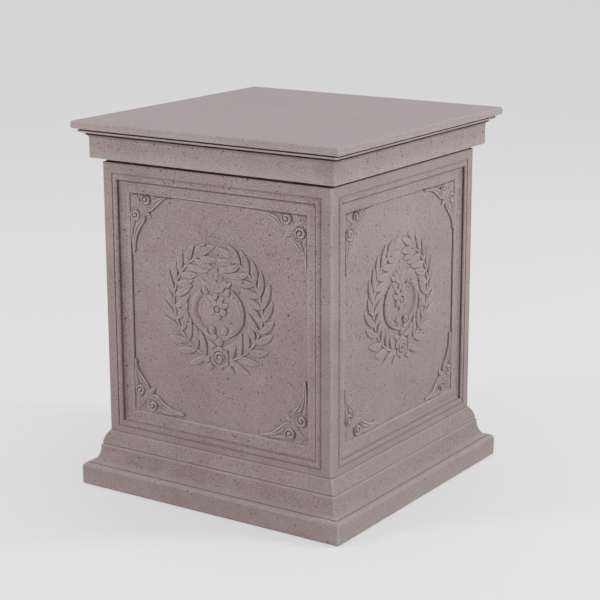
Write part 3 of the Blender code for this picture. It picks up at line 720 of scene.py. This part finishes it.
def border_of(places, triangles):
    """Chains of border points along foot, right, top and left, put exactly on the rectangle."""
    edges = np.sort(np.vstack((triangles[:, :2], triangles[:, 1:], triangles[:, ::2])), axis=1)
    pairs, counts = np.unique(edges, axis=0, return_counts=True)
    border = np.unique(pairs[counts == 1])
    u, v = places[border, 0], places[border, 2]
    gaps = np.stack((v + MAP_HALF_HEIGHT, MAP_HALF_WIDTH - u, MAP_HALF_HEIGHT - v, u + MAP_HALF_WIDTH))
    nearest = gaps.argmin(axis=0)
    places[border, 1] = FILLET_RISE
    lines = ((2, -MAP_HALF_HEIGHT), (0, MAP_HALF_WIDTH), (2, MAP_HALF_HEIGHT), (0, -MAP_HALF_WIDTH))
    for side, (axis, value) in enumerate(lines):
        places[border[nearest == side], axis] = value
    corners = []
    for x, y in ((-1, -1), (1, -1), (1, 1), (-1, 1)):
        reach = np.hypot(u - x * MAP_HALF_WIDTH, v - y * MAP_HALF_HEIGHT)
        corner = border[reach.argmin()]
        places[corner, 0], places[corner, 2] = x * MAP_HALF_WIDTH, y * MAP_HALF_HEIGHT
        corners.append(corner)
    chains = []
    for side, (axis, value) in enumerate(lines):
        run = 0 if axis == 2 else 2
        chain = border[np.abs(places[border, axis] - value) < 1e-7]
        chain = chain[np.argsort(places[chain, run])]
        chains.append(chain if side < 2 else chain[::-1])
    return chains


def sample(values, u, v):
    """Value between the four grid points round each place, weighted by nearness."""
    column = np.clip((u + MAP_HALF_WIDTH) / (2 * MAP_HALF_WIDTH) * (columns - 1), 0, columns - 1.001)
    row = np.clip((v + MAP_HALF_HEIGHT) / (2 * MAP_HALF_HEIGHT) * (rows - 1), 0, rows - 1.001)
    left, foot = column.astype(int), row.astype(int)
    s, t = column - left, row - foot
    lower = values[foot, left] * (1 - s) + values[foot, left + 1] * s
    upper = values[foot + 1, left] * (1 - s) + values[foot + 1, left + 1] * s
    return lower * (1 - t) + upper * t


def corner_spots(places, triangles):
    """Places to read for the corners of each triangle: a third of the way to its middle.

    A flat triangle beside a leaf thus reads the flat field at all its corners.
    """
    corners = places[triangles]
    spots = corners + (corners.mean(axis=1, keepdims=True) - corners) * 0.35
    return spots[..., 0], spots[..., 2]


def slope_normals(u, v):
    """Normals read from the slope of the fine height map: minus the slopes, and one outwards."""
    step = GRID * 0.75
    across_slope = (sample(relief, u + step, v) - sample(relief, u - step, v)) / (2 * step)
    upward_slope = (sample(relief, u, v + step) - sample(relief, u, v - step)) / (2 * step)
    normals = np.stack((-across_slope, -np.ones_like(across_slope), -upward_slope), axis=-1)
    return normals / np.linalg.norm(normals, axis=-1, keepdims=True)


patch_places, patch_triangles = carved_patch()
patch_border = border_of(patch_places, patch_triangles)
patch_spots = corner_spots(patch_places, patch_triangles)
patch_normals = slope_normals(*patch_spots).reshape(-1, 3)
print(len(patch_triangles), "triangles in a carved field,",
      sum(map(len, patch_border)), "points on its border")

# %% [markdown]
# Shade falls, and a little dirt settles, where light and rain do not reach: in grooves,
# under leaves and along the foot of the mouldings. That dark is painted into the colour
# here, so it is mostly painted shade. Edges that stand out are painted pale, partly as worn
# stone and partly as a painted highlight. Both can be measured from the shape itself. One
# number tells how sheltered a place is, and below nought how much it stands out. The stone
# finish reads it later.

# %% Shelter of the carved field
patch_hollow = sample(hollow_map, *patch_spots).ravel()
print(f"shelter from {patch_hollow.min():.2f} to {patch_hollow.max():.2f}")

# %% [markdown]
# Now the whole casting is put together as one closed skin. A small store keeps the
# points, their shelter and the faces. Rings go round the plinth and the cap, rectangles
# frame each panel, and the carved field is set in last. The well underneath is open, with
# a little draft so that the core could be drawn out.

# %% Store of points and faces
SIDE_STEPS = 30


class Skin:
    """Points with their shelter, and faces that run anticlockwise seen from outside."""

    def __init__(self):
        """An empty store, with the first face of every carved field and every frame."""
        self.points, self.shelter, self.faces = [], [], []
        self.carved_from, self.framed_from = [], []

    def add(self, points, shelter):
        """Append points and give back their numbers."""
        start = sum(map(len, self.points))
        self.points.append(np.asarray(points, float))
        self.shelter.append(np.broadcast_to(np.asarray(shelter, float), (len(points),)))
        return np.arange(start, start + len(points))

    def band(self, lower, upper):
        """Quads between two closed chains of the same count."""
        quads = np.stack((lower, np.roll(lower, -1), np.roll(upper, -1), upper), axis=1)
        self.faces.extend(quads.tolist())


def full_ring(half, height, radius=CORNER_RADIUS):
    """Square ring with further points spaced evenly along its straight sides."""
    ring = square_ring(half, height, radius)
    parts = []
    share = np.linspace(0, 1, SIDE_STEPS + 1)[1:-1, None]
    for corner in range(4):
        arc = ring[corner * (CORNER_STEPS + 1):(corner + 1) * (CORNER_STEPS + 1)]
        after = ring[((corner + 1) * (CORNER_STEPS + 1)) % RING_COUNT]
        parts += [arc, arc[-1] + (after - arc[-1]) * share]
    return np.vstack(parts)


skin = Skin()
GROUP = CORNER_STEPS + SIDE_STEPS
print(len(full_ring(SLAB_HALF, 0)), "points in a full ring")

# %% Plinth, cap and well
EDGE_REACH = 0.0022
SHELTER_GAIN = 2.2
MOST_WEAR_AND_HIGHLIGHT = 0.45
FOOT_LINE_SHADE = 0.8
LEDGE_SHADE = (0.0, 0.75, 0.75, 0.0)
SEAM_SHADE = (0.0, 0.6, 1.0, 1.0)
# Positive shelter paints shade into hollows; negative shelter paints arrises pale, as worn stone and a
# painted highlight, up to a limit.
base_shelter = np.clip(hollowness(base_profile, EDGE_REACH) * SHELTER_GAIN, -MOST_WEAR_AND_HIGHLIGHT, 1)
cap_shelter = np.clip(hollowness(cap_profile, EDGE_REACH) * SHELTER_GAIN, -MOST_WEAR_AND_HIGHLIGHT, 1)
# Painted shade: the crease at the die's foot, the plinth's foot line, the seam under the frieze and the
# two quirks of the cap are marked dark.
base_shelter[-4:] = LEDGE_SHADE
base_shelter[base_profile[:, 1] == PLINTH_HEIGHT - FOOT_LINE_DEPTH] = FOOT_LINE_SHADE
cap_shelter[:4] = SEAM_SHADE
quirk = np.abs(cap_profile[:, 0] - (CAP_HOLLOW_HALF - BEAD_QUIRK)) < 1e-6
quirk |= np.abs(cap_profile[:, 0] - (CAP_BEAD_HALF - SLAB_QUIRK)) < 1e-6
cap_shelter[quirk] = 1.0
base_rings = [skin.add(full_ring(half, z), shelter)
              for (half, z), shelter in zip(base_profile, base_shelter)]
cap_rings = [skin.add(full_ring(half, z), shelter)
             for (half, z), shelter in zip(cap_profile, cap_shelter)]
for rings in (base_rings, cap_rings):
    for lower, upper in zip(rings, rings[1:]):
        skin.band(lower, upper)
skin.faces.append(cap_rings[-1].tolist())

WELL_ROUND = 0.010
WELL_CORNER_RADIUS = 0.012
# Painted shade inside the well underneath.
WELL_SHADE = 0.6
well_profile = np.vstack((
    [(WELL_MOUTH_HALF + 0.003, 0.0)],
    quarter((WELL_MOUTH_HALF + 0.002, 0.0), (WELL_MOUTH_HALF, 0.002), True, 2),
    quarter((WELL_HALF, WELL_TOP - WELL_ROUND), (WELL_HALF - WELL_ROUND, WELL_TOP), False, 4)))
well_rings = [skin.add(full_ring(half, z, WELL_CORNER_RADIUS), WELL_SHADE)
              for half, z in well_profile]
skin.band(well_rings[0], base_rings[0])
for outer, inner in zip(well_rings, well_rings[1:]):
    skin.band(inner, outer)
skin.faces.append(well_rings[-1][::-1].tolist())
print(sum(map(len, skin.points)), "points before the panels")

# %% [markdown]
# One function makes every side and turns it into place. The groove inside the bead gets
# more painted shade at the two upper corners of a rectangle than at the two lower ones,
# because at the top the steps of the frame face down, away from the light. So a groove has
# one number for each corner, from the lower left round to the upper left.

# %% The four panelled sides
FRAME_REACH = 0.0016
FRAME_LINE_SHADE = (0.0, 0.0, 0.7, 0.7, 0.1)
FRAME_QUIRK_SHADE = (0.35, 0.35, 0.9, 0.9)
frame_shelter = np.clip(hollowness(frame_profile, FRAME_REACH) * -SHELTER_GAIN, -1, 1)
# Painted shade in the fine line of the frame and in the quirk inside the bead, darker at the top where
# the steps face down.
frame_shelter[:5] = FRAME_LINE_SHADE
frame_shelter = np.repeat(frame_shelter[:, None], 4, axis=1)
frame_shelter[BEAD_POINTS:BEAD_POINTS + 2] = FRAME_QUIRK_SHADE
frame_shelter[BEAD_POINTS + 2] = 0.2


def turned(points, side):
    """Points of the front turned to another side, a quarter turn about the upright for each."""
    x, y, z = np.asarray(points).T
    c, s = ((1, 0), (0, 1), (-1, 0), (0, -1))[side]
    return np.column_stack((x * c - y * s, x * s + y * c, z))


def rectangle(inset, depth):
    """Corners of a frame rectangle on the front, from its lower left, anticlockwise."""
    half = DIE_HALF - SIDE_RAIL - inset
    foot, top = DIE_FOOT + BOTTOM_RAIL + inset, DIE_TOP - TOP_RAIL - inset
    y = depth - DIE_HALF
    return [(-half, y, foot), (half, y, foot), (half, y, top), (-half, y, top)]


def chain_along(ring, side):
    """The points of a full ring along one side, from its left end to its right end."""
    start = ((side + 3) % 4) * GROUP + CORNER_STEPS
    return ring[np.arange(start, start + SIDE_STEPS + 1) % len(ring)].tolist()


def add_panel(side):
    """Stiles and rails, the frame's mouldings, and the carved field of one side."""
    rings = [skin.add(turned(rectangle(inset, depth), side), shelter)
             for (inset, depth), shelter in zip(frame_profile[:-1], frame_shelter)]
    foot, top = chain_along(base_rings[-1], side), chain_along(cap_rings[0], side)
    a, b, c, d = rings[0].tolist()
    skin.faces += [foot + [b, a], [foot[-1], top[-1], c, b], top[::-1] + [d, c],
                   [top[0], foot[0], a, d]]
    skin.framed_from.append(len(skin.faces))
    for outer, inner in zip(rings, rings[1:]):
        skin.band(outer, inner)
    places = patch_places.copy()
    places[:, 1] = PANEL_DEPTH - DIE_HALF - places[:, 1]
    places[:, 2] += MAP_MIDDLE
    numbers = skin.add(turned(places, side), 0.0)
    skin.carved_from.append((len(skin.faces), side))
    skin.faces.extend(numbers[patch_triangles].tolist())
    last = rings[-1].tolist()
    for edge, chain in enumerate(patch_border):
        skin.faces.append([last[edge], last[(edge + 1) % 4]] + numbers[chain[::-1]].tolist())


def add_corner_strips():
    """The round corners of the die, from the foot to the top between the sides."""
    for corner in range(4):
        start = corner * GROUP
        foot, top = base_rings[-1], cap_rings[0]
        for step in range(start, start + CORNER_STEPS):
            skin.faces.append([foot[step], foot[step + 1], top[step + 1], top[step]])


for side in range(4):
    add_panel(side)
add_corner_strips()
print(sum(map(len, skin.points)), "points and", len(skin.faces), "faces in all")

# %% [markdown]
# The store becomes one mesh. The measured number goes with it as two attributes at the
# corners of its faces: painted shade with some dirt in the hollows, and worn paleness with
# a painted highlight on the arrises. The round corners of the square get the strongest
# painted highlight, and the frames are kept out of that. Light is steered by normals. Round
# a point of the mouldings they are the average of the faces that meet smoothly, weighted by
# area, so that a large flat keeps its flat light and only the small radii beside it look
# round. The carved fields bring their own.

# %% Normals at the corners of the faces
SHARP_ANGLE = np.radians(38)
ARRIS_SLANT, ARRIS_WEAR_AND_HIGHLIGHT = 0.12, 0.75


def smooth_normals(mesh, limit):
    """Area-weighted sum of the faces round a point that turn by less than the limit."""
    loops, faces = len(mesh.loops), len(mesh.polygons)
    point, sides = np.zeros(loops, dtype=np.int32), np.zeros(faces, dtype=np.int32)
    normal, area = np.zeros(3 * faces), np.zeros(faces)
    mesh.loops.foreach_get("vertex_index", point)
    mesh.polygons.foreach_get("loop_total", sides)
    mesh.polygons.foreach_get("normal", normal)
    mesh.polygons.foreach_get("area", area)
    normal = normal.reshape(-1, 3)
    order = np.argsort(point, kind="stable")
    point, face = point[order], np.repeat(np.arange(faces), sides)[order]
    own, weight = normal[face], (normal * area[:, None])[face]
    total = weight.copy()
    for shift in range(1, np.bincount(point).max()):
        meet = point[shift:] == point[:-shift]
        meet &= np.sum(own[shift:] * own[:-shift], axis=1) > np.cos(limit)
        total[:-shift][meet] += weight[shift:][meet]
        total[shift:][meet] += weight[:-shift][meet]
    result = np.zeros((loops, 3))
    result[order] = total
    return result / np.maximum(np.linalg.norm(result, axis=1, keepdims=True), 1e-12)


def make_pedestal():
    """One closed mesh with its attributes and its normals."""
    mesh = bpy.data.meshes.new("pedestal_stone")
    mesh.from_pydata(np.vstack(skin.points), [], skin.faces)
    mesh.polygons.foreach_set("use_smooth", np.ones(len(mesh.polygons), dtype=bool))
    point = np.zeros(len(mesh.loops), dtype=np.int32)
    mesh.loops.foreach_get("vertex_index", point)
    starts = np.zeros(len(mesh.polygons), dtype=np.int32)
    mesh.polygons.foreach_get("loop_start", starts)
    shelter = np.concatenate(skin.shelter)[point]
    facing = np.zeros(3 * len(mesh.polygons))
    mesh.polygons.foreach_get("normal", facing)
    sides = np.zeros(len(mesh.polygons), dtype=np.int32)
    mesh.polygons.foreach_get("loop_total", sides)
    # The round corners of the die get a painted highlight as well as worn paleness; the frames are left
    # out.
    slanted = np.abs(facing.reshape(-1, 3)[:, :2]).min(axis=1) > ARRIS_SLANT
    framed = 4 * (len(frame_profile) - 2)
    for first_face in skin.framed_from:
        slanted[first_face:first_face + framed] = False
    shelter = np.where(np.repeat(slanted, sides), shelter - ARRIS_WEAR_AND_HIGHLIGHT, shelter)
    normals = smooth_normals(mesh, SHARP_ANGLE)
    for first_face, side in skin.carved_from:
        carved = slice(starts[first_face], starts[first_face] + len(patch_normals))
        normals[carved] = turned(patch_normals, side)
        shelter[carved] = patch_hollow
    # Two attributes: painted shade with some dirt in the hollows, and worn paleness with a painted
    # highlight on the arrises.
    for name, values in (("crease_shade_and_grime", np.clip(shelter, 0, 1)), ("wear_and_highlight", np.clip(-shelter, 0, 1))):
        mesh.attributes.new(name, "FLOAT", "CORNER").data.foreach_set("value", values)
    mesh.normals_split_custom_set(normals)
    thing = bpy.data.objects.new("pedestal_stone", mesh)
    bpy.context.scene.collection.objects.link(thing)
    return thing


pedestal = make_pedestal()
solid = bmesh.new()
solid.from_mesh(pedestal.data)
loose = sum(1 for edge in solid.edges if len(edge.link_faces) != 2)
print(f"volume {solid.calc_volume() * 1000:.1f} litres, {loose} open edges")
solid.free()

# %% [markdown]
# Cast stone is crushed rock and pigment bound with cement, rammed or poured into a mould.
# Its face shows mottled patches a hand wide, a fine sandy grain and small dark pits where
# air was trapped. A finish is built here from noise of those three sizes. It uses the
# object's own coordinates in metres, so that the pattern runs round the corners without
# a seam.

# %% Helpers for the finish
stone = bpy.data.materials.new("cast_stone")
stone.use_nodes = True
tree = stone.node_tree
shader = tree.nodes["Principled BSDF"]


def node(kind, **settings):
    """A node with its settings; inputs are given by name or number through feed."""
    made = tree.nodes.new(kind)
    for name, value in settings.items():
        setattr(made, name, value)
    return made


def feed(target, value):
    """Give an input a number, a colour or another node's output."""
    if isinstance(value, bpy.types.NodeSocket):
        tree.links.new(value, target)
    else:
        target.default_value = value
    return target


place = node("ShaderNodeTexCoord").outputs["Object"]


def noise(scale, detail=3.0, roughness=0.55, distortion=0.0):
    """Cloudy noise with about this many cells per metre."""
    made = node("ShaderNodeTexNoise")
    feed(made.inputs["Vector"], place)
    for name, value in (("Scale", scale), ("Detail", detail), ("Roughness", roughness),
                        ("Distortion", distortion)):
        feed(made.inputs[name], value)
    return made.outputs["Fac"]


def ramp(value, low_end, high_end, low_out=0.0, high_out=1.0):
    """Straight scale from one range to another, held at its ends."""
    made = node("ShaderNodeMapRange", clamp=True)
    for number, item in enumerate((value, low_end, high_end, low_out, high_out)):
        feed(made.inputs[number], item)
    return made.outputs[0]


def maths(kind, *values):
    """Arithmetic on one, two or three values."""
    made = node("ShaderNodeMath", operation=kind)
    for number, item in enumerate(values):
        feed(made.inputs[number], item)
    return made.outputs[0]


def tint(share, first, second):
    """Mix of two colours by a share."""
    made = node("ShaderNodeMix", data_type="RGBA", blend_type="MIX", clamp_factor=True)
    for name, item in (("Factor_Float", share), ("A_Color", first), ("B_Color", second)):
        feed(next(s for s in made.inputs if s.identifier == name), item)
    return next(s for s in made.outputs if s.identifier == "Result_Color")


print("finish helpers ready")

# %% [markdown]
# Colour first. A warm mauve grey is mixed with a paler and a darker shade of itself by
# large and middling noise. Then come pale and dark sand, pits painted dark for the shade
# inside them and for dirt, painted shade with some dirt in sheltered grooves, and arrises
# painted pale as worn stone and as a painted highlight. Faces that look up gather a thin,
# cooler dust, and the stone is a little darker towards the ground.

# %% Colour of the stone
BODY = (0.130, 0.091, 0.089, 1)
PALE = (0.184, 0.140, 0.137, 1)
DARK = (0.076, 0.052, 0.050, 1)
# Dark colour for painted shade in creases and pits, and for dirt.
SHADE_AND_DIRT = (0.020, 0.013, 0.012, 1)
DUST = (0.168, 0.131, 0.150, 1)
# Pale colour for worn arrises and for a painted highlight on them.
RUBBED_AND_HIGHLIGHT = (0.300, 0.245, 0.236, 1)
PIT_SHARE, SHADE_AND_DIRT_SHARE, RUBBED_AND_HIGHLIGHT_SHARE, GROUND_SHARE = 0.92, 0.82, 0.70, 0.27

colour = tint(ramp(noise(6.0, 5.0, 0.65, 0.3), 0.38, 0.66, 0.35, 1.0), DARK, BODY)
colour = tint(ramp(noise(24.0, 5.0, 0.7), 0.48, 0.75, 0.0, 0.40), colour, PALE)
grain = noise(480.0, 3.0, 0.8)
colour = tint(ramp(grain, 0.51, 0.64, 0.0, 1.0), colour, PALE)
colour = tint(ramp(grain, 0.49, 0.36, 0.0, 1.0), colour, DARK)


def first_channel(colour_socket):
    """First channel of a colour."""
    apart = node("ShaderNodeSeparateColor")
    feed(apart.inputs[0], colour_socket)
    return apart.outputs[0]


def pits(scale, size, share):
    """Small round pits: distance to the nearest cell centre, kept in only some cells."""
    cells = node("ShaderNodeTexVoronoi")
    feed(cells.inputs["Vector"], place)
    feed(cells.inputs["Scale"], scale)
    lucky = maths("LESS_THAN", first_channel(cells.outputs["Color"]), share)
    return maths("MULTIPLY", ramp(cells.outputs["Distance"], size, size * 0.5), lucky)


small_pits = pits(240.0, 0.32, 0.14)
middle_pits = pits(120.0, 0.24, 0.09)
large_pits = pits(60.0, 0.15, 0.06)
pitted = maths("MAXIMUM", maths("MAXIMUM", small_pits, middle_pits), large_pits)
# Pits are painted dark: the shade inside them, and dirt.
colour = tint(maths("MULTIPLY", pitted, PIT_SHARE), colour, SHADE_AND_DIRT)
print("stone colour mixed from", len(tree.nodes), "nodes")

# %% Painted shade and dirt, worn edges and painted highlight, and dust
# Painted shade: the first attribute darkens hollows, creases and grooves where shade falls, and patchy
# noise breaks it up as real dirt.
crease_shade_and_grime = node("ShaderNodeAttribute", attribute_name="crease_shade_and_grime").outputs["Fac"]
wear_and_highlight = node("ShaderNodeAttribute", attribute_name="wear_and_highlight").outputs["Fac"]
patchy = noise(60.0, 4.0, 0.6)
shade_and_dirt = maths("MULTIPLY", ramp(crease_shade_and_grime, 0.35, 1.0), ramp(patchy, 0.25, 0.65, 0.55, 1.0))
colour = tint(maths("MULTIPLY", shade_and_dirt, SHADE_AND_DIRT_SHARE), colour, SHADE_AND_DIRT)
# Painted highlight: arrises and the crowns of the carving are painted pale, partly as worn stone.
uneven = ramp(noise(55.0, 4.0, 0.7), 0.35, 0.7, 0.5, 1.0)
rubbed_and_highlight = maths("MULTIPLY", ramp(wear_and_highlight, 0.15, 0.95), uneven)
colour = tint(maths("MULTIPLY", rubbed_and_highlight, RUBBED_AND_HIGHLIGHT_SHARE), colour, RUBBED_AND_HIGHLIGHT)
apart = node("ShaderNodeSeparateXYZ")
feed(apart.inputs[0], node("ShaderNodeNewGeometry").outputs["Normal"])
facing_up = maths("MULTIPLY", ramp(apart.outputs["Z"], 0.55, 0.95), ramp(grain, 0.40, 0.60, 0.85, 0.20))
colour = tint(facing_up, colour, DUST)
height_apart = node("ShaderNodeSeparateXYZ")
feed(height_apart.inputs[0], place)
near_ground = ramp(height_apart.outputs["Z"], 0.42, 0.20, 0.0, GROUND_SHARE)
colour = tint(near_ground, colour, DARK)
feed(shader.inputs["Base Color"], colour)
feed(shader.inputs["Roughness"], ramp(grain, 0.3, 0.7, 0.82, 0.95))
feed(shader.inputs["Specular IOR Level"], 0.25)
print("colour finished with", len(tree.nodes), "nodes")

# %% [markdown]
# Sand and pits are also felt by the hand. They are far too small for the mesh, so a bump
# node tilts the light by the same noise that coloured them.

# %% Grain and pits in the surface
BUMP_STRENGTH, BUMP_DISTANCE = 0.80, 0.0010
rough_skin = maths("MULTIPLY_ADD", noise(140.0, 5.0, 0.7), 0.5, maths("MULTIPLY", grain, 0.5))
rough_skin = maths("SUBTRACT", rough_skin, maths("MULTIPLY", pitted, 0.9))
bump = node("ShaderNodeBump")
feed(bump.inputs["Strength"], BUMP_STRENGTH)
feed(bump.inputs["Distance"], BUMP_DISTANCE)
feed(bump.inputs["Height"], rough_skin)
feed(shader.inputs["Normal"], bump.outputs["Normal"])
pedestal.data.materials.append(stone)
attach(pedestal, "root")
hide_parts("pedestal")
print("finish holds", len(tree.nodes), "nodes")

# %% [markdown]
# The studio is a wide plain floor under a dim sky. Two broad soft lamps stand one on each
# side, so that both faces get a raking light from their outer side and every leaf throws
# a short shadow. A third light comes straight down from a broad ceiling, and brightens the
# top and the whole floor evenly.

# %% Floor and lamps
FLOOR_SIZE = 60.0
FLOOR_PAINT = (0.86, 0.86, 0.86, 1)
SKY_STRENGTH = 0.60
floor_mesh = bpy.data.meshes.new("floor")
edge = FLOOR_SIZE / 2
floor_mesh.from_pydata([(-edge, -edge, 0), (edge, -edge, 0), (edge, edge, 0), (-edge, edge, 0)], [],
                       [(0, 1, 2, 3)])
floor = bpy.data.objects.new("floor", floor_mesh)
bpy.context.scene.collection.objects.link(floor)
paint = bpy.data.materials.new("floor_paint")
paint.use_nodes = True
paint.node_tree.nodes["Principled BSDF"].inputs["Base Color"].default_value = FLOOR_PAINT
paint.node_tree.nodes["Principled BSDF"].inputs["Roughness"].default_value = 0.9
floor_mesh.materials.append(paint)

sky = bpy.data.worlds.new("sky")
sky.use_nodes = True
sky.node_tree.nodes["Background"].inputs["Color"].default_value = (1.0, 1.0, 1.0, 1)
sky.node_tree.nodes["Background"].inputs["Strength"].default_value = SKY_STRENGTH
bpy.context.scene.world = sky

VIEW_ANGLE = np.radians(33.79)
TARGET = Vector((0.0, 0.0, HEIGHT * 0.5))
LAMP_DISTANCE, LAMP_SIZE = 3.4, 0.7
TOP_STRENGTH, TOP_SPREAD = 4.2, np.radians(50)


def soft_lamp(name, turn, climb, power):
    """Square area lamp at an angle round from the camera and up, aimed at the pedestal."""
    around = VIEW_ANGLE + np.radians(turn)
    lift = np.radians(climb)
    away = Vector((np.sin(around) * np.cos(lift), -np.cos(around) * np.cos(lift), np.sin(lift)))
    data = bpy.data.lights.new(name, "AREA")
    data.shape = "SQUARE"
    data.size = LAMP_SIZE
    data.energy = power
    lamp = bpy.data.objects.new(name, data)
    lamp.location = TARGET + away * LAMP_DISTANCE
    lamp.rotation_euler = away.to_track_quat("Z", "Y").to_euler()
    bpy.context.scene.collection.objects.link(lamp)


soft_lamp("left_lamp", -72, 26, 142)
soft_lamp("right_lamp", 88, 28, 205)
top_light = bpy.data.lights.new("top_lamp", "SUN")
top_light.energy = TOP_STRENGTH
top_light.angle = TOP_SPREAD
bpy.context.scene.collection.objects.link(bpy.data.objects.new("top_lamp", top_light))
print("three lamps and a floor of", FLOOR_SIZE, "m")

# %% [markdown]
# The camera stands about three metres off, a little above the top, and sees the front and
# the right side. A long lens keeps the uprights nearly parallel.

# %% Camera
VIEWPOINT = Vector((1.5524, -2.2969, 1.0054))
AIM = Vector((0.0107, 0.0072, 0.2968))
ROLL = np.radians(-0.2)
LENS = 102.8

back = (VIEWPOINT - AIM).normalized()
level = Vector((np.cos(VIEW_ANGLE), np.sin(VIEW_ANGLE), 0))
upward_way = back.cross(level)
right_way = level * np.cos(ROLL) + upward_way * np.sin(ROLL)
upward_way = upward_way * np.cos(ROLL) - level * np.sin(ROLL)
stance = Matrix((right_way, upward_way, back)).transposed().to_4x4()
camera_data = bpy.data.cameras.new("camera")
camera_data.lens = LENS
camera_data.sensor_width = 36.0
camera = bpy.data.objects.new("camera", camera_data)
camera.matrix_world = Matrix.Translation(VIEWPOINT) @ stance
bpy.context.scene.collection.objects.link(camera)
bpy.context.scene.camera = camera
print(f"camera {(VIEWPOINT - AIM).length:.2f} m away with a lens of {LENS} mm")
